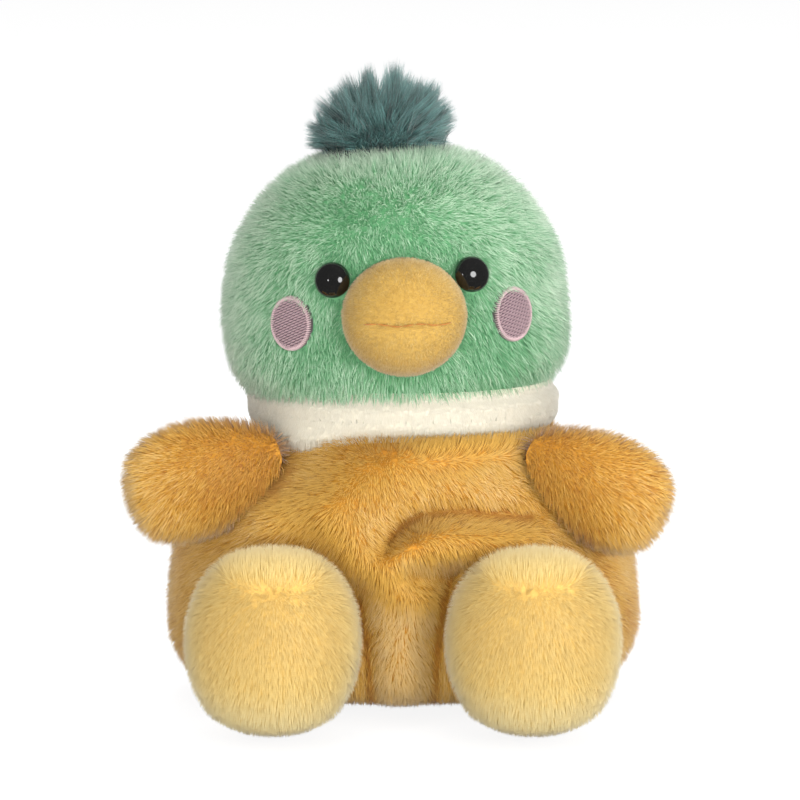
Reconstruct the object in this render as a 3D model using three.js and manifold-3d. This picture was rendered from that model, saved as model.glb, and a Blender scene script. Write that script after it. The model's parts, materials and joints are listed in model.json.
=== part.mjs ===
// Plush duck, a palm-sized soft toy that sits by itself: a pear-shaped body weighted with pellets,
// a domed head on a plush collar, a puffed beak, two arm-like wings, two ball feet and a small tail.
// Millimetres, +Z up. The duck faces -Y; left and right are its own, so its left side is at +X.
// The origin is the middle of the flat seat. Each cover's outer face is the level of its pile.
import * as THREE from 'three';
import { mergeVertices } from 'three/addons/utils/BufferGeometryUtils.js';
import Module from 'manifold-3d';

// Fabric, fit and seams
const pileWall = 3; // long-pile plush: backing cloth and pile together
const velourWall = 1.8; // short-pile velour of the beak
const collarWall = 2.6;
const fit = 0.3; // clearance between two pieces that touch
const seatCut = 0.5; // how deep the resting faces are flattened

// Body. The profile runs bottom to top: below the belly its radii are shares of the body's, above it
// shares of the way from the neck's radius to the body's, and past the seam shares of the neck's.
const bodyWidth = 95.4;
const bodyDepth = 72;
const bodyHeight = 55.5; // seat to neck seam
const pelletFill = 27; // top of the weighted inner bag above the seat
const bodyRumpShares = [[0.36, -0.6], [0.62, 0.9]]; // heights here are shares of the flattened depth
const bodyBellyShares = [[0.8, 0.045], [0.935, 0.12], [0.995, 0.23], [1, 0.36]];
const bodyShoulderShares = [[0.94, 0.545], [0.87, 0.634], [0.715, 0.72], [0.5, 0.81], [0.245, 0.9], [0, 1]];
const bodyCapShares = [[0.82, 1.1], [0.48, 1.17], [0, 1.2]];

// Folds of the loosely filled front: ends as shares of half-width and height, then the shares of
// the common rise and spread.
const foldRise = 1.8;
const foldSpread = 4.2;
const foldShares = [
  { from: [-0.5, 0.75], to: [0.53, 0.92], rise: 1, spread: 1.2 }, // the roll across the chest
  { from: [-0.05, 0.68], to: [0.5, 0.74], rise: -1.1, spread: 0.65 }, // the crease under it
  { from: [-0.12, 0.55], to: [0.36, 0.61], rise: 0.8, spread: 1 }, // the lower roll
  { from: [0, 0.5], to: [0, 0.1], rise: 0.6, spread: 1 }, // the ridge down the middle
  { from: [-0.23, 0.44], to: [-0.2, 0.24], rise: -0.6, spread: 0.6 }, // the crease beside it
];
const foldFadeShare = 0.85; // from this height the folds fade out up to the neck seam

// Neck: the collar and the stuffing inside it
const neckWidth = 61;
const neckDepth = 53;
const collarHeight = 5.5;
const collarBulge = 1.4;
const neckTurn = 20; // degrees of travel each way, as are the next two
const neckNod = 8;
const neckLean = 5;

// Head. Jaw radii are shares of the way from the neck's radius to the head's.
const headWidth = 70;
const headDepth = 59;
const headHeight = 50; // neck seam to crown
const headShift = -0.9; // the head is sewn on this far off the middle of the neck
const headRoll = 2; // degrees, the crown leans to -X
const headTurn = 3.6; // degrees, the face turns to +X
const headSkirtShares = [[0, -0.22], [0.5, -0.2], [0.9, -0.11]]; // below the seam, cut away
const headJawShares = [[0, 0], [0.74, 0.115], [0.99, 0.229], [1, 0.344]];
const headCrownShares = [
  [0.985, 0.458], [0.95, 0.573], [0.875, 0.687], [0.755, 0.8], [0.555, 0.916], [0.3, 0.978], [0, 1],
];

// Beak: a puffed cushion sewn to the face and drawn in along the mouth
const beakWidth = 25;
const beakHeight = 23.6;
const beakReach = 12.6; // how far it stands out of the face
const beakSunk = 1.5; // how far behind the face it is widest
const beakRise = 18.2; // its middle above the neck seam
const mouthWidth = 19;
const mouthDrop = 0.1; // the mouth line below the beak's middle
const mouthDent = 0.9; // how far the stitching draws the velour in
const mouthSpread = 2.2;
const mouthThread = 1.1;
const mouthGroove = 1.2;

// Eyes: domed safety eyes, each with a shank through the cover and a lock washer inside
const eyeSpacing = 27.6;
const eyeRise = 25.7; // above the neck seam
const eyeDiameter = 7;
const eyeDome = 3.1;
const eyeRim = 0.6;
const eyeSeat = 1.1; // how deep the pile is pressed in under the eye
const shankDiameter = 2.6;
const shankEnd = 1.2; // shank past the washer
const washerDiameter = 8;
const washerPlate = 1.1;
const washerHub = 0.9; // height of the hub behind the plate
const washerHubDiameter = 4.6;

// Cheeks: ovals of satin stitch worked through the cover
const cheekSpacing = 45.5;
const cheekRise = 17;
const cheekWidth = 9.6;
const cheekHeight = 10.6;
const cheekRecess = 1.2; // how deep the stitches flatten the pile
const cheekProud = 0.3;

// Tuft of long pile on the crown: locks fanned out of a root. Each lock has its degrees from
// upright towards +X, its degrees towards the back, and its length as a share of the reach.
const tuftReach = 15.5;
const tuftShift = -2; // the root lies off the middle of the crown
const tuftRootWidth = 20;
const tuftRootDepth = 11;
const tuftRootHeight = 9;
const lockWidth = 8;
const tuftLockShares = [
  [-78, 6, 0.86], [-56, -16, 0.98], [-35, 14, 1], [-13, -12, 1], [9, 12, 1.02],
  [31, -12, 1], [53, 12, 0.94], [76, -4, 0.8],
  [-35, 42, 0.76], [6, 44, 0.8], [42, 42, 0.74], [-30, -42, 0.72], [8, -44, 0.76], [42, -40, 0.68],
];
const lockProfileShares = [[0.62, 0.08], [0.9, 0.3], [1, 0.55], [0.8, 0.78], [0.42, 0.94]];

// Wings: soft paddles sewn on at the shoulder, lying on the body's slope
const wingLength = 30.5;
const wingHeight = 24;
const wingThick = 17.5;
const wingDroop = 25; // degrees below level
const wingForward = 10; // degrees towards the front
const wingRootAside = 22.2; // the sewn root's hinge line is this far in from the body's side
const wingRootDrop = 5.4; // and this far below the neck seam
const wingRootClear = 1.6; // the hinge line lies this far in front of the body's face
const wingInset = 5; // the paddle starts this far behind its hinge line
const wingLift = 30; // degrees of travel up
const wingProfileShares = [[0.36, 0.02], [0.62, 0.13], [0.86, 0.32], [1, 0.56], [0.93, 0.78], [0.62, 0.94]];

// Feet: balls sewn to the lower front by a narrow root
const footWidth = 36.2;
const footHeight = 39;
const footDepth = 33;
const footSpacing = 50;
const footRootX = 17.5; // the sewn root's hinge line
const footRootZ = 17;
const footRootClear = 2.2;
const footRootDiameter = 11;
const footOut = 13.6; // middle of the ball in front of its hinge line
const footLift = 28; // degrees of travel up
const footDrop = 10; // degrees of travel down
const footProfileShares = [
  [0.42, 0.03], [0.72, 0.13], [0.93, 0.3], [1, 0.5], [0.94, 0.7], [0.74, 0.87], [0.43, 0.97],
];

// Tail: a small stub at the lower back
const tailLength = 15;
const tailWidth = 17;
const tailThick = 10;
const tailRootZ = 15;
const tailRootClear = 1.4;
const tailInset = 6;
const tailRise = 32; // degrees above level
const tailSwing = 18; // degrees of travel each way
const tailProfileShares = [[0.5, 0.03], [0.85, 0.2], [1, 0.42], [0.82, 0.68], [0.45, 0.92]];

// Fineness: facets round a form and rings along it
const fine = [34, 20];
const lining = [22, 12];
const limb = [18, 11];
const limbLining = [12, 7];
const beakFine = [22, 16];
const beakLining = [14, 8];
const tuftRootFine = [14, 8];
const lockFine = [7, 6];
const footRootFine = [12, 7];
const roundFacets = 18; // round a rod, a hole's edge or an eye
const boreFacets = 12;
const washerFacets = 14;
const cheekFacets = 20;
const collarSteps = 4; // steps over the collar's bulge
const domeSteps = 4; // and up an eye's dome
const travelSteps = 4; // steps of travel at which the room of a swinging piece is cut
const halvings = 48; // of a profile, to find where it reaches a height

const wasm = await Module();
wasm.setup();
const { degToRad, lerp, smoothstep } = THREE.MathUtils;
const up = new THREE.Vector3(0, 0, 1);

const neckRadius = neckWidth / 2;
const bodyRadius = bodyWidth / 2;
const headRadius = headWidth / 2;
const headBase = bodyHeight + fit + collarHeight + fit;
const cutSpan = 2 * (bodyWidth + headHeight); // cutting blocks run past everything

// Joining and cutting of closed shapes

// Welds a shape's seams and poles before anything moves it.
function welded(geometry) {
  geometry.deleteAttribute('normal');
  geometry.deleteAttribute('uv');
  return mergeVertices(geometry);
}

function solidOf({ attributes, index }) {
  return new wasm.Manifold(new wasm.Mesh({
    numProp: 3,
    vertProperties: new Float32Array(attributes.position.array),
    triVerts: new Uint32Array(index.array),
  }));
}

function geometryOf(solid) {
  const { vertProperties, triVerts } = solid.getMesh();
  const geometry = new THREE.BufferGeometry();
  geometry.setAttribute('position', new THREE.BufferAttribute(new Float32Array(vertProperties), 3));
  geometry.setIndex(new THREE.BufferAttribute(new Uint32Array(triVerts), 1));
  geometry.computeVertexNormals();
  return geometry;
}

const block = (low, high) =>
  welded(new THREE.BoxGeometry(cutSpan, cutSpan, high - low)).translate(0, 0, (low + high) / 2);
const between = (form, low, high) => solidOf(form).intersect(solidOf(block(low, high)));
const rod = (radius, low, high, around = roundFacets) =>
  welded(new THREE.CylinderGeometry(radius, radius, high - low, around))
    .rotateX(Math.PI / 2).translate(0, 0, (low + high) / 2);
const turned = (points, around) => welded(new THREE.LatheGeometry(
  points.map(([r, h]) => new THREE.Vector2(r, h)), around)).rotateX(Math.PI / 2);
const ball = (around, rings) => welded(new THREE.SphereGeometry(1, around, rings)).rotateX(Math.PI / 2);

// Rounded forms

// A profile of radius and height swept round with its own depth for each height and moved out by
// swell. Turn runs from -X over the front to +X and the back, a quarter being the front.
function sweptForm(profile, swell, [around, rings], depthFactor, dress = (point) => point) {
  const form = new THREE.SphereGeometry(1, around, rings);
  const { position, uv } = form.attributes;
  for (let i = 0; i < position.count; i++) {
    const angle = 2 * Math.PI * (uv.getX(i) % 1); // both sides of the seam land on the same points
    const along = uv.getY(i);
    const pole = along <= 0 || along >= 1;
    const at = profile.getPoint(along);
    const slope = pole ? new THREE.Vector2(along <= 0 ? 1 : -1, 0) : profile.getTangent(along);
    const point = dress(new THREE.Vector3(
      -Math.cos(angle) * (at.x + swell * slope.y),
      -Math.sin(angle) * (at.x * depthFactor(at.y) + swell * slope.y),
      at.y - swell * slope.x,
    ), Math.max(0, Math.sin(angle)));
    position.setXYZ(i, point.x, point.y, point.z);
  }
  return welded(form);
}

const splineThrough = (points) => new THREE.SplineCurve(points.map(([x, y]) => new THREE.Vector2(x, y)));

// An egg along +Z from its lower pole at the origin, given by its profile shares.
function eggForm(shares, width, depth, length, swell, fineness) {
  const points = shares.map(([r, h]) => [r * width / 2, h * length]);
  return sweptForm(splineThrough([[0, 0], ...points, [0, length]]), swell, fineness, () => depth / width);
}

// Where along a profile a height is reached, from a start past which the heights only rise.
function alongAt(profile, height, start) {
  let [low, high] = [start, 1];
  for (let i = 0; i < halvings; i++) {
    const middle = (low + high) / 2;
    if (profile.getPoint(middle).y < height) low = middle;
    else high = middle;
  }
  return low;
}

// A place on a swept form's front (side -1) or back (1), and the direction straight out of it.
function placeOn(profile, depthFactor, x, z, side, start) {
  const along = alongAt(profile, z, start);
  const radius = profile.getPoint(along).x;
  const depth = radius * depthFactor(z);
  const slope = profile.getTangent(along);
  const place = new THREE.Vector3(x, side * depth * Math.sqrt(Math.max(0, 1 - (x / radius) ** 2)), z);
  const level = new THREE.Vector3(x / radius ** 2, place.y / depth ** 2, 0).normalize();
  const out = level.multiplyScalar(slope.y).setZ(-slope.x).normalize();
  return { place, out };
}

// A frame at a place whose z axis points along out and whose y axis leans upwards.
function frameAt(place, out) {
  const across = new THREE.Vector3().crossVectors(up, out).normalize();
  const rise = new THREE.Vector3().crossVectors(out, across);
  return new THREE.Matrix4().makeBasis(across, rise, out).setPosition(place);
}

// Cuts from a solid the room that it needs beside obstacles while it turns about a hinge line.
function cutRoom(solid, obstacles, { at, axis, travel }) {
  for (let step = 0; step <= travelSteps; step++) {
    const angle = degToRad(lerp(...travel, step / travelSteps));
    const back = new THREE.Matrix4().makeRotationAxis(axis, -angle)
      .setPosition(at.clone().applyAxisAngle(axis, -angle).negate().add(at));
    for (const obstacle of obstacles) solid = solid.subtract(solidOf(obstacle.clone().applyMatrix4(back)));
  }
  return solid;
}

// Body form

const bodyProfile = splineThrough([
  [0, -seatCut],
  ...bodyRumpShares.map(([r, depths]) => [r * bodyRadius, depths * seatCut]),
  ...bodyBellyShares.map(([r, h]) => [r * bodyRadius, h * bodyHeight]),
  ...bodyShoulderShares.map(([s, h]) => [lerp(neckRadius, bodyRadius, s), h * bodyHeight]),
  ...bodyCapShares.map(([r, h]) => [r * neckRadius, h * bodyHeight]),
]);
const bellyShare = bodyBellyShares.at(-1)[1];
const bodyDepthFactor = (height) =>
  lerp(bodyDepth / bodyWidth, neckDepth / neckWidth, smoothstep(height, bellyShare * bodyHeight, bodyHeight));
const bodyStart = (1 + bodyRumpShares.length) / (bodyProfile.points.length - 1);

// How far the folds lift the front, the more the nearer to a fold's line.
function foldLift(x, z) {
  const nearest = new THREE.Vector3();
  let lift = 0;
  for (const { from, to, rise, spread } of foldShares) {
    const [start, end] = [from, to].map(([a, b]) => new THREE.Vector3(a * bodyRadius, 0, b * bodyHeight));
    const here = new THREE.Vector3(x, 0, z);
    new THREE.Line3(start, end).closestPointToPoint(here, true, nearest);
    const reach = here.distanceTo(nearest) / (foldSpread * spread);
    lift += foldRise * rise * Math.exp(-reach * reach);
  }
  return lift * (1 - smoothstep(z, foldFadeShare * bodyHeight, bodyHeight)) * smoothstep(z, 0, foldSpread);
}

const foldedFront = (point, facing) => point.setY(point.y - foldLift(point.x, point.z) * Math.sqrt(facing));
const bodyForm = (swell, fineness, dress) => sweptForm(bodyProfile, swell, fineness, bodyDepthFactor, dress);
const bodyPlace = (x, z, side) => placeOn(bodyProfile, bodyDepthFactor, x, z, side, bodyStart);
const bodyObstacle = bodyForm(fit, fine, foldedFront);

// Head form, in the head's own frame, whose origin is the middle of the neck seam

const headProfile = splineThrough([
  ...headSkirtShares.map(([r, h]) => [r * neckRadius, h * headHeight]),
  ...headJawShares.map(([s, h]) => [lerp(neckRadius, headRadius, s), h * headHeight]),
  ...headCrownShares.map(([r, h]) => [r * headRadius, h * headHeight]),
]);
const jawShare = headJawShares.at(-1)[1];
const headDepthFactor = (height) =>
  lerp(neckDepth / neckWidth, headDepth / headWidth, smoothstep(height, 0, jawShare * headHeight));
const headStart = headSkirtShares.length / (headProfile.points.length - 1);
const headForm = (swell, fineness = fine) => sweptForm(headProfile, swell, fineness, headDepthFactor);
const headPlace = (x, z) => placeOn(headProfile, headDepthFactor, x, z, -1, headStart);
const headSolid = solidOf(headForm(0));

const headRotation = new THREE.Euler(0, degToRad(-headRoll), degToRad(headTurn), 'ZYX');
const headLevel = new THREE.Matrix4().makeRotationFromEuler(headRotation).invert();
const aboveNeck = solidOf(block(0, cutSpan).applyMatrix4(headLevel));

// Scene graph: the head and its pieces share a turned group

const duck = new THREE.Group();
const headGroup = new THREE.Group();
headGroup.position.set(headShift, 0, headBase);
headGroup.rotation.copy(headRotation);
duck.add(headGroup);

const materials = {
  greenPlush: { color: '#7fb98d', roughness: 0.95 },
  tealPlush: { color: '#4a6664', roughness: 0.95 },
  tanPlush: { color: '#d09443', roughness: 0.95 },
  yellowPlush: { color: '#ebc873', roughness: 0.95 },
  creamPlush: { color: '#e4ddc5', roughness: 0.95 },
  orangeVelour: { color: '#ddb564', roughness: 0.9 },
  pinkThread: { color: '#c79aa2', roughness: 0.6 },
  brownThread: { color: '#b07a34', roughness: 0.7 },
  blackPlastic: { color: '#171715', roughness: 0.12 },
  whitePlastic: { color: '#e9e7e0', roughness: 0.4 },
  polyesterFill: { color: '#f2f1ec', roughness: 1 },
  pelletCloth: { color: '#dcd8cc', roughness: 0.9 },
};

function add(name, geometry, slot, parent = duck) {
  const mesh = new THREE.Mesh(geometry, new THREE.MeshStandardMaterial({ ...materials[slot], metalness: 0 }));
  mesh.name = name;
  parent.add(mesh);
}

// Body: the cover is open at the neck; a bag of pellets and loose fibre fill it
const bodyHollow = bodyForm(-pileWall, lining);
add('body_cover', geometryOf(between(bodyForm(0, fine, foldedFront), 0, bodyHeight)
  .subtract(between(bodyHollow, pileWall, cutSpan))), 'tanPlush');
const bodyFilling = bodyForm(-pileWall - fit, lining);
add('body_pellet_bag', geometryOf(between(bodyFilling, pileWall + fit, pelletFill)), 'pelletCloth');
add('body_stuffing', geometryOf(between(bodyFilling, pelletFill + fit, bodyHeight)), 'polyesterFill');

// Neck: a band of plush round its stuffing, between two flat seams
const neckFactor = neckDepth / neckWidth;
const collarEdge = Array.from({ length: collarSteps + 1 }, (_, i) =>
  [neckRadius + collarBulge * Math.sin(Math.PI * i / collarSteps), collarHeight * i / collarSteps]);
const collarInner = neckRadius - collarWall;
const collarProfile = [[collarInner, 0], ...collarEdge, [collarInner, collarHeight], [collarInner, 0]];
const collar = turned(collarProfile, fine[0]).scale(1, neckFactor, 1);
add('collar', geometryOf(solidOf(collar.translate(0, 0, bodyHeight + fit))), 'creamPlush');
add('neck_stuffing', rod(collarInner - fit, bodyHeight + fit, headBase - fit, lining[0])
  .scale(1, neckFactor, 1), 'polyesterFill');
const neckObstacle = rod(neckRadius + collarBulge + fit, bodyHeight, headBase + pileWall, fine[0])
  .scale(1, neckFactor, 1);

// Head cover: open at the neck, with a pressed-in seat and a shank hole for each eye and a
// flattened oval for each cheek
const headHollow = solidOf(headForm(-pileWall, lining));
let headCover = headSolid.intersect(aboveNeck).subtract(headHollow);
let headStuffing = solidOf(headForm(-pileWall - fit, lining)).intersect(aboveNeck);

const eyeRadius = eyeDiameter / 2;
const shankRadius = shankDiameter / 2;
const washerFront = -pileWall - 2 * fit; // the wall inside curves in towards the washer's rim
const washerBack = washerFront - washerPlate;
const shankTip = washerBack - washerHub - shankEnd;
const eyeBase = fit - eyeSeat;
const eyeProfile = [[0, shankTip], [shankRadius, shankTip], [shankRadius, eyeBase], [eyeRadius, eyeBase]];
for (let i = 0; i <= domeSteps; i++) {
  const angle = Math.PI / 2 * i / domeSteps;
  eyeProfile.push([eyeRadius * Math.cos(angle), eyeBase + eyeRim + (eyeDome - eyeRim) * Math.sin(angle)]);
}
const washerBore = shankRadius + fit;
const washerProfile = [
  [washerBore, washerBack - washerHub], [washerHubDiameter / 2, washerBack - washerHub],
  [washerHubDiameter / 2, washerBack], [washerDiameter / 2, washerBack],
  [washerDiameter / 2, washerFront], [washerBore, washerFront], [washerBore, washerBack - washerHub],
];

const beakTop = headPlace(0, beakRise);
for (const [side, sign] of [['right', -1], ['left', 1]]) {
  const eye = headPlace(sign * eyeSpacing / 2, eyeRise);
  const eyeFrame = frameAt(eye.place, eye.out);
  const seat = solidOf(rod(eyeRadius + fit, -eyeSeat, eyeDome).applyMatrix4(eyeFrame));
  const hole = solidOf(rod(washerBore, washerFront, 0, boreFacets).applyMatrix4(eyeFrame));
  const pocket = solidOf(rod(washerDiameter / 2 + fit, shankTip - fit, 0).applyMatrix4(eyeFrame));
  headCover = headCover.subtract(seat).subtract(hole);
  headStuffing = headStuffing.subtract(pocket);
  add(`eye_${side}`, geometryOf(solidOf(turned(eyeProfile, roundFacets).applyMatrix4(eyeFrame))), 'blackPlastic', headGroup);
  add(`eye_washer_${side}`, geometryOf(solidOf(turned(washerProfile, washerFacets).applyMatrix4(eyeFrame))),
    'whitePlastic', headGroup);

  const cheek = headPlace(sign * cheekSpacing / 2, cheekRise);
  const cheekFrame = frameAt(cheek.place, cheek.out);
  const oval = (grow) => solidOf(rod(1, -cheekWidth / 2, cheekWidth / 2, cheekFacets)
    .scale(cheekWidth / 2 + grow, cheekHeight / 2 + grow, 1).applyMatrix4(cheekFrame));
  headCover = headCover.subtract(oval(fit).subtract(solidOf(headForm(-cheekRecess))));
  add(`cheek_${side}`, geometryOf(oval(0).intersect(solidOf(headForm(cheekProud)))
    .subtract(solidOf(headForm(fit - cheekRecess)))), 'pinkThread', headGroup);
}

// Beak: the mouth draws its front in and holds a line of thread
const beakLift = beakTop.place.clone().addScaledVector(beakTop.out, -beakSunk);
const beakFrame = new THREE.Matrix4().makeTranslation(beakLift);
const mouthLine = -mouthDrop;
function beakForm(swell, fineness) {
  const form = ball(...fineness);
  form.scale(beakWidth / 2 + swell, beakSunk + beakReach + swell, beakHeight / 2 + swell);
  const { position } = form.attributes;
  for (let i = 0; i < position.count; i++) {
    const offset = (position.getZ(i) - mouthLine) / mouthSpread;
    const dent = position.getY(i) < 0 ? mouthDent * Math.exp(-offset * offset) : 0;
    const inset = Math.max(0, 1 - (2 * position.getX(i) / mouthWidth) ** 2);
    position.setY(i, position.getY(i) + dent * inset);
  }
  return form.applyMatrix4(beakFrame);
}
const faceCut = solidOf(headForm(fit));
const mouthBar = (grow) => solidOf(welded(
  new THREE.BoxGeometry(mouthWidth + 2 * grow, cutSpan, mouthThread + 2 * grow))
  .translate(0, -cutSpan / 2, mouthLine).applyMatrix4(beakFrame));
const beakBottom = solidOf(beakForm(-mouthGroove, beakFine));
add('beak_cover', geometryOf(solidOf(beakForm(0, beakFine)).subtract(faceCut)
  .subtract(solidOf(beakForm(-velourWall, beakLining))).subtract(mouthBar(fit).subtract(beakBottom))),
'orangeVelour', headGroup);
add('beak_stuffing', geometryOf(solidOf(beakForm(-velourWall - fit, beakLining)).subtract(faceCut)),
  'polyesterFill', headGroup);
add('mouth_stitch', geometryOf(solidOf(beakForm(fit - mouthDent, beakFine)).intersect(mouthBar(0))
  .subtract(solidOf(beakForm(fit - mouthGroove, beakFine)))), 'brownThread', headGroup);

add('head_cover', geometryOf(headCover), 'greenPlush', headGroup);
add('head_stuffing', geometryOf(headStuffing), 'polyesterFill', headGroup);

// Tuft: a squashed root on the crown with tapered locks fanned out of it
const crown = new THREE.Vector3(tuftShift, 0, headHeight - fit);
let tuft = solidOf(ball(...tuftRootFine)
  .scale(tuftRootWidth / 2, tuftRootDepth / 2, tuftRootHeight).translate(crown.x, crown.y, crown.z));
for (const [side, back, length] of tuftLockShares) {
  const direction = new THREE.Vector3(Math.sin(degToRad(side)), Math.tan(degToRad(back)), Math.cos(degToRad(side)))
    .normalize();
  const lock = eggForm(lockProfileShares, lockWidth, lockWidth, tuftReach * length, 0, lockFine);
  tuft = tuft.add(solidOf(lock.applyMatrix4(frameAt(crown, direction))));
}
add('tuft', geometryOf(tuft.subtract(faceCut)), 'tealPlush', headGroup);

// The hinge lines of the sewn roots and the neck, with their degrees of travel
const neckMiddle = new THREE.Vector3(0, 0, (bodyHeight + headBase) / 2);
const neckHinge = (axis, travel) => ({ at: neckMiddle, axis: new THREE.Vector3(...axis), travel: [-travel, travel] });
const hinges = {
  head_turn: neckHinge([0, 0, 1], neckTurn),
  head_nod: neckHinge([1, 0, 0], neckNod),
  head_lean: neckHinge([0, 1, 0], neckLean),
};
duck.userData.hinges = hinges;

// A stuffed limb: a cover open at its sewn root and the filling inside it, both cut to the room
// they need beside their neighbours over the limb's travel
function addLimb(name, outer, hollow, filling, slot, fillSlot, hinge, obstacles) {
  hinges[name] = hinge;
  add(`${name}_cover`, geometryOf(cutRoom(outer, obstacles, hinge).subtract(hollow)), slot);
  add(`${name}_stuffing`, geometryOf(cutRoom(filling, obstacles, hinge)), fillSlot);
}

for (const [side, sign] of [['right', -1], ['left', 1]]) {
  // Wing: its z axis runs out along the wing, its x axis across it and its y axis through it
  const wingRoot = bodyPlace(sign * (bodyRadius - wingRootAside), bodyHeight - wingRootDrop, -1);
  const wingPivot = wingRoot.place.clone().addScaledVector(wingRoot.out, wingRootClear);
  const droop = degToRad(wingDroop);
  const forward = degToRad(wingForward);
  const along = new THREE.Vector3(
    sign * Math.cos(droop) * Math.cos(forward), -Math.cos(droop) * Math.sin(forward), -Math.sin(droop));
  const through = new THREE.Vector3().crossVectors(along, up).normalize().multiplyScalar(sign);
  const across = new THREE.Vector3().crossVectors(through, along);
  const wingFrame = new THREE.Matrix4().makeBasis(across, through, along)
    .setPosition(wingPivot.clone().addScaledVector(along, -wingInset));
  const wing = (swell, fineness) => solidOf(
    eggForm(wingProfileShares, wingHeight, wingThick, wingLength + wingInset, swell, fineness).applyMatrix4(wingFrame));
  addLimb(`wing_${side}`, wing(0, limb), wing(-pileWall, limbLining), wing(-pileWall - fit, limbLining),
    'tanPlush', 'polyesterFill', { at: wingPivot, axis: new THREE.Vector3(0, -sign, 0), travel: [0, wingLift] },
    [bodyObstacle, neckObstacle]);

  // Foot: a ball standing on its flattened underside, with a short root to the body
  const footRoot = bodyPlace(sign * footRootX, footRootZ, -1);
  const footPivot = footRoot.place.clone().addScaledVector(footRoot.out, footRootClear);
  const middle = new THREE.Vector3(sign * footSpacing / 2, 0, footHeight / 2 - seatCut);
  const aside = middle.x - footPivot.x;
  const above = middle.z - footPivot.z;
  middle.y = footPivot.y - Math.sqrt(footOut ** 2 - aside ** 2 - above ** 2);
  const foot = (swell, fineness) => solidOf(
    eggForm(footProfileShares, footWidth, footDepth, footHeight, swell, fineness)
      .translate(middle.x, middle.y, -seatCut)).intersect(solidOf(block(-swell, cutSpan)));
  const inward = footPivot.clone().sub(middle).normalize();
  const rootRadius = footRootDiameter / 2;
  const root = ball(...footRootFine).scale(rootRadius, rootRadius, rootRadius).translate(...footPivot);
  const mouth = rod(rootRadius - pileWall, 0, footOut + 2 * footRootClear).applyMatrix4(frameAt(middle, inward));
  addLimb(`foot_${side}`, foot(0, limb).add(solidOf(root)), foot(-pileWall, limbLining).add(solidOf(mouth)),
    foot(-pileWall - fit, limbLining), 'yellowPlush', 'pelletCloth',
    { at: footPivot, axis: new THREE.Vector3(-1, 0, 0), travel: [-footDrop, footLift] }, [bodyObstacle]);
}

// Tail
const tailRoot = bodyPlace(0, tailRootZ, 1);
const tailPivot = tailRoot.place.clone().addScaledVector(tailRoot.out, tailRootClear);
const rise = degToRad(tailRise);
const tailAlong = new THREE.Vector3(0, Math.cos(rise), Math.sin(rise));
const tailFrame = frameAt(tailPivot.clone().addScaledVector(tailAlong, -tailInset), tailAlong);
const tail = (swell, fineness) => solidOf(
  eggForm(tailProfileShares, tailWidth, tailThick, tailLength + tailInset, swell, fineness).applyMatrix4(tailFrame));
addLimb('tail', tail(0, limb), tail(-pileWall, limbLining), tail(-pileWall - fit, limbLining), 'tanPlush',
  'polyesterFill', { at: tailPivot, axis: new THREE.Vector3(1, 0, 0), travel: [-tailSwing, tailSwing] },
  [bodyObstacle]);

export default duck;
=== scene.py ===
"""Plush duck: the finish of a palm-sized soft toy.

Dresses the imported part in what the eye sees: stuffed skins swept from profiles, closed strands of pile
rooted in them, the velour beak with its stitched mouth, the stitched cheeks, the domed eyes and the tuft.
Metres, +Z up. The duck faces -Y; left and right are its own, so its left side is at +X.
"""

import json
import math

import bpy
import numpy as np
from bpy.props import FloatProperty, FloatVectorProperty, PointerProperty
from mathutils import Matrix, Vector


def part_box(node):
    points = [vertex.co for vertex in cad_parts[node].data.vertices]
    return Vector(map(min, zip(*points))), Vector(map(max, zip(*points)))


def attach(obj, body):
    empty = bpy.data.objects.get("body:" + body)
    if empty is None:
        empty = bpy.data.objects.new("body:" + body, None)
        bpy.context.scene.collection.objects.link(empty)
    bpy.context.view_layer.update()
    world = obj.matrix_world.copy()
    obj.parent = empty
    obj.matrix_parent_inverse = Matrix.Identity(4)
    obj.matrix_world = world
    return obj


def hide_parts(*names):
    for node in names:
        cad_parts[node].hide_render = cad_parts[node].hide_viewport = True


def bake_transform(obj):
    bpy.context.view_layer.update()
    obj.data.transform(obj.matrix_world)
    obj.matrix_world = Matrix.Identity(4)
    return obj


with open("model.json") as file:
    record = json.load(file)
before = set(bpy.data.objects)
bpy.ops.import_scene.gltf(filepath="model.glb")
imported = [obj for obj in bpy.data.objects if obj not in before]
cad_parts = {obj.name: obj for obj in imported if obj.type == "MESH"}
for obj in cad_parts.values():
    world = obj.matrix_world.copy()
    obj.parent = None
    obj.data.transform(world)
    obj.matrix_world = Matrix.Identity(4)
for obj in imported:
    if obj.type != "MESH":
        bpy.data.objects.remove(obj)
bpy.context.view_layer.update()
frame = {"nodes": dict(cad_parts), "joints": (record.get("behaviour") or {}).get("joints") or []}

bl_info = {
    "name": "Plush Duck",
    "version": (1, 0, 0),
    "blender": (4, 5, 0),
    "location": "3D View > Sidebar > Plush",
    "description": "Dresses a plush duck in pile, velour, stitching and domed eyes",
    "category": "Object",
}

MM = 0.001
SQUARE_MM = MM * MM

# The part's forms. A profile lists radius and height from the bottom up. Shares follow the named size
# of the piece, as in the part itself.
BODY_WIDTH = 95.4 * MM
BODY_DEPTH = 72 * MM
BODY_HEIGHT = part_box("body_cover")[1].z
SEAT_CUT = 0.5 * MM
PELLET_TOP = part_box("body_pellet_bag")[1].z
RUMP_SHARES = ((0.36, -0.6), (0.62, 0.9))
BELLY_SHARES = ((0.8, 0.045), (0.935, 0.12), (0.995, 0.23), (1, 0.36))
SHOULDER_SHARES = ((0.94, 0.545), (0.87, 0.634), (0.715, 0.72), (0.5, 0.81), (0.245, 0.9), (0, 1))
CAP_SHARES = ((0.82, 1.1), (0.48, 1.17), (0, 1.2))

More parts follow.
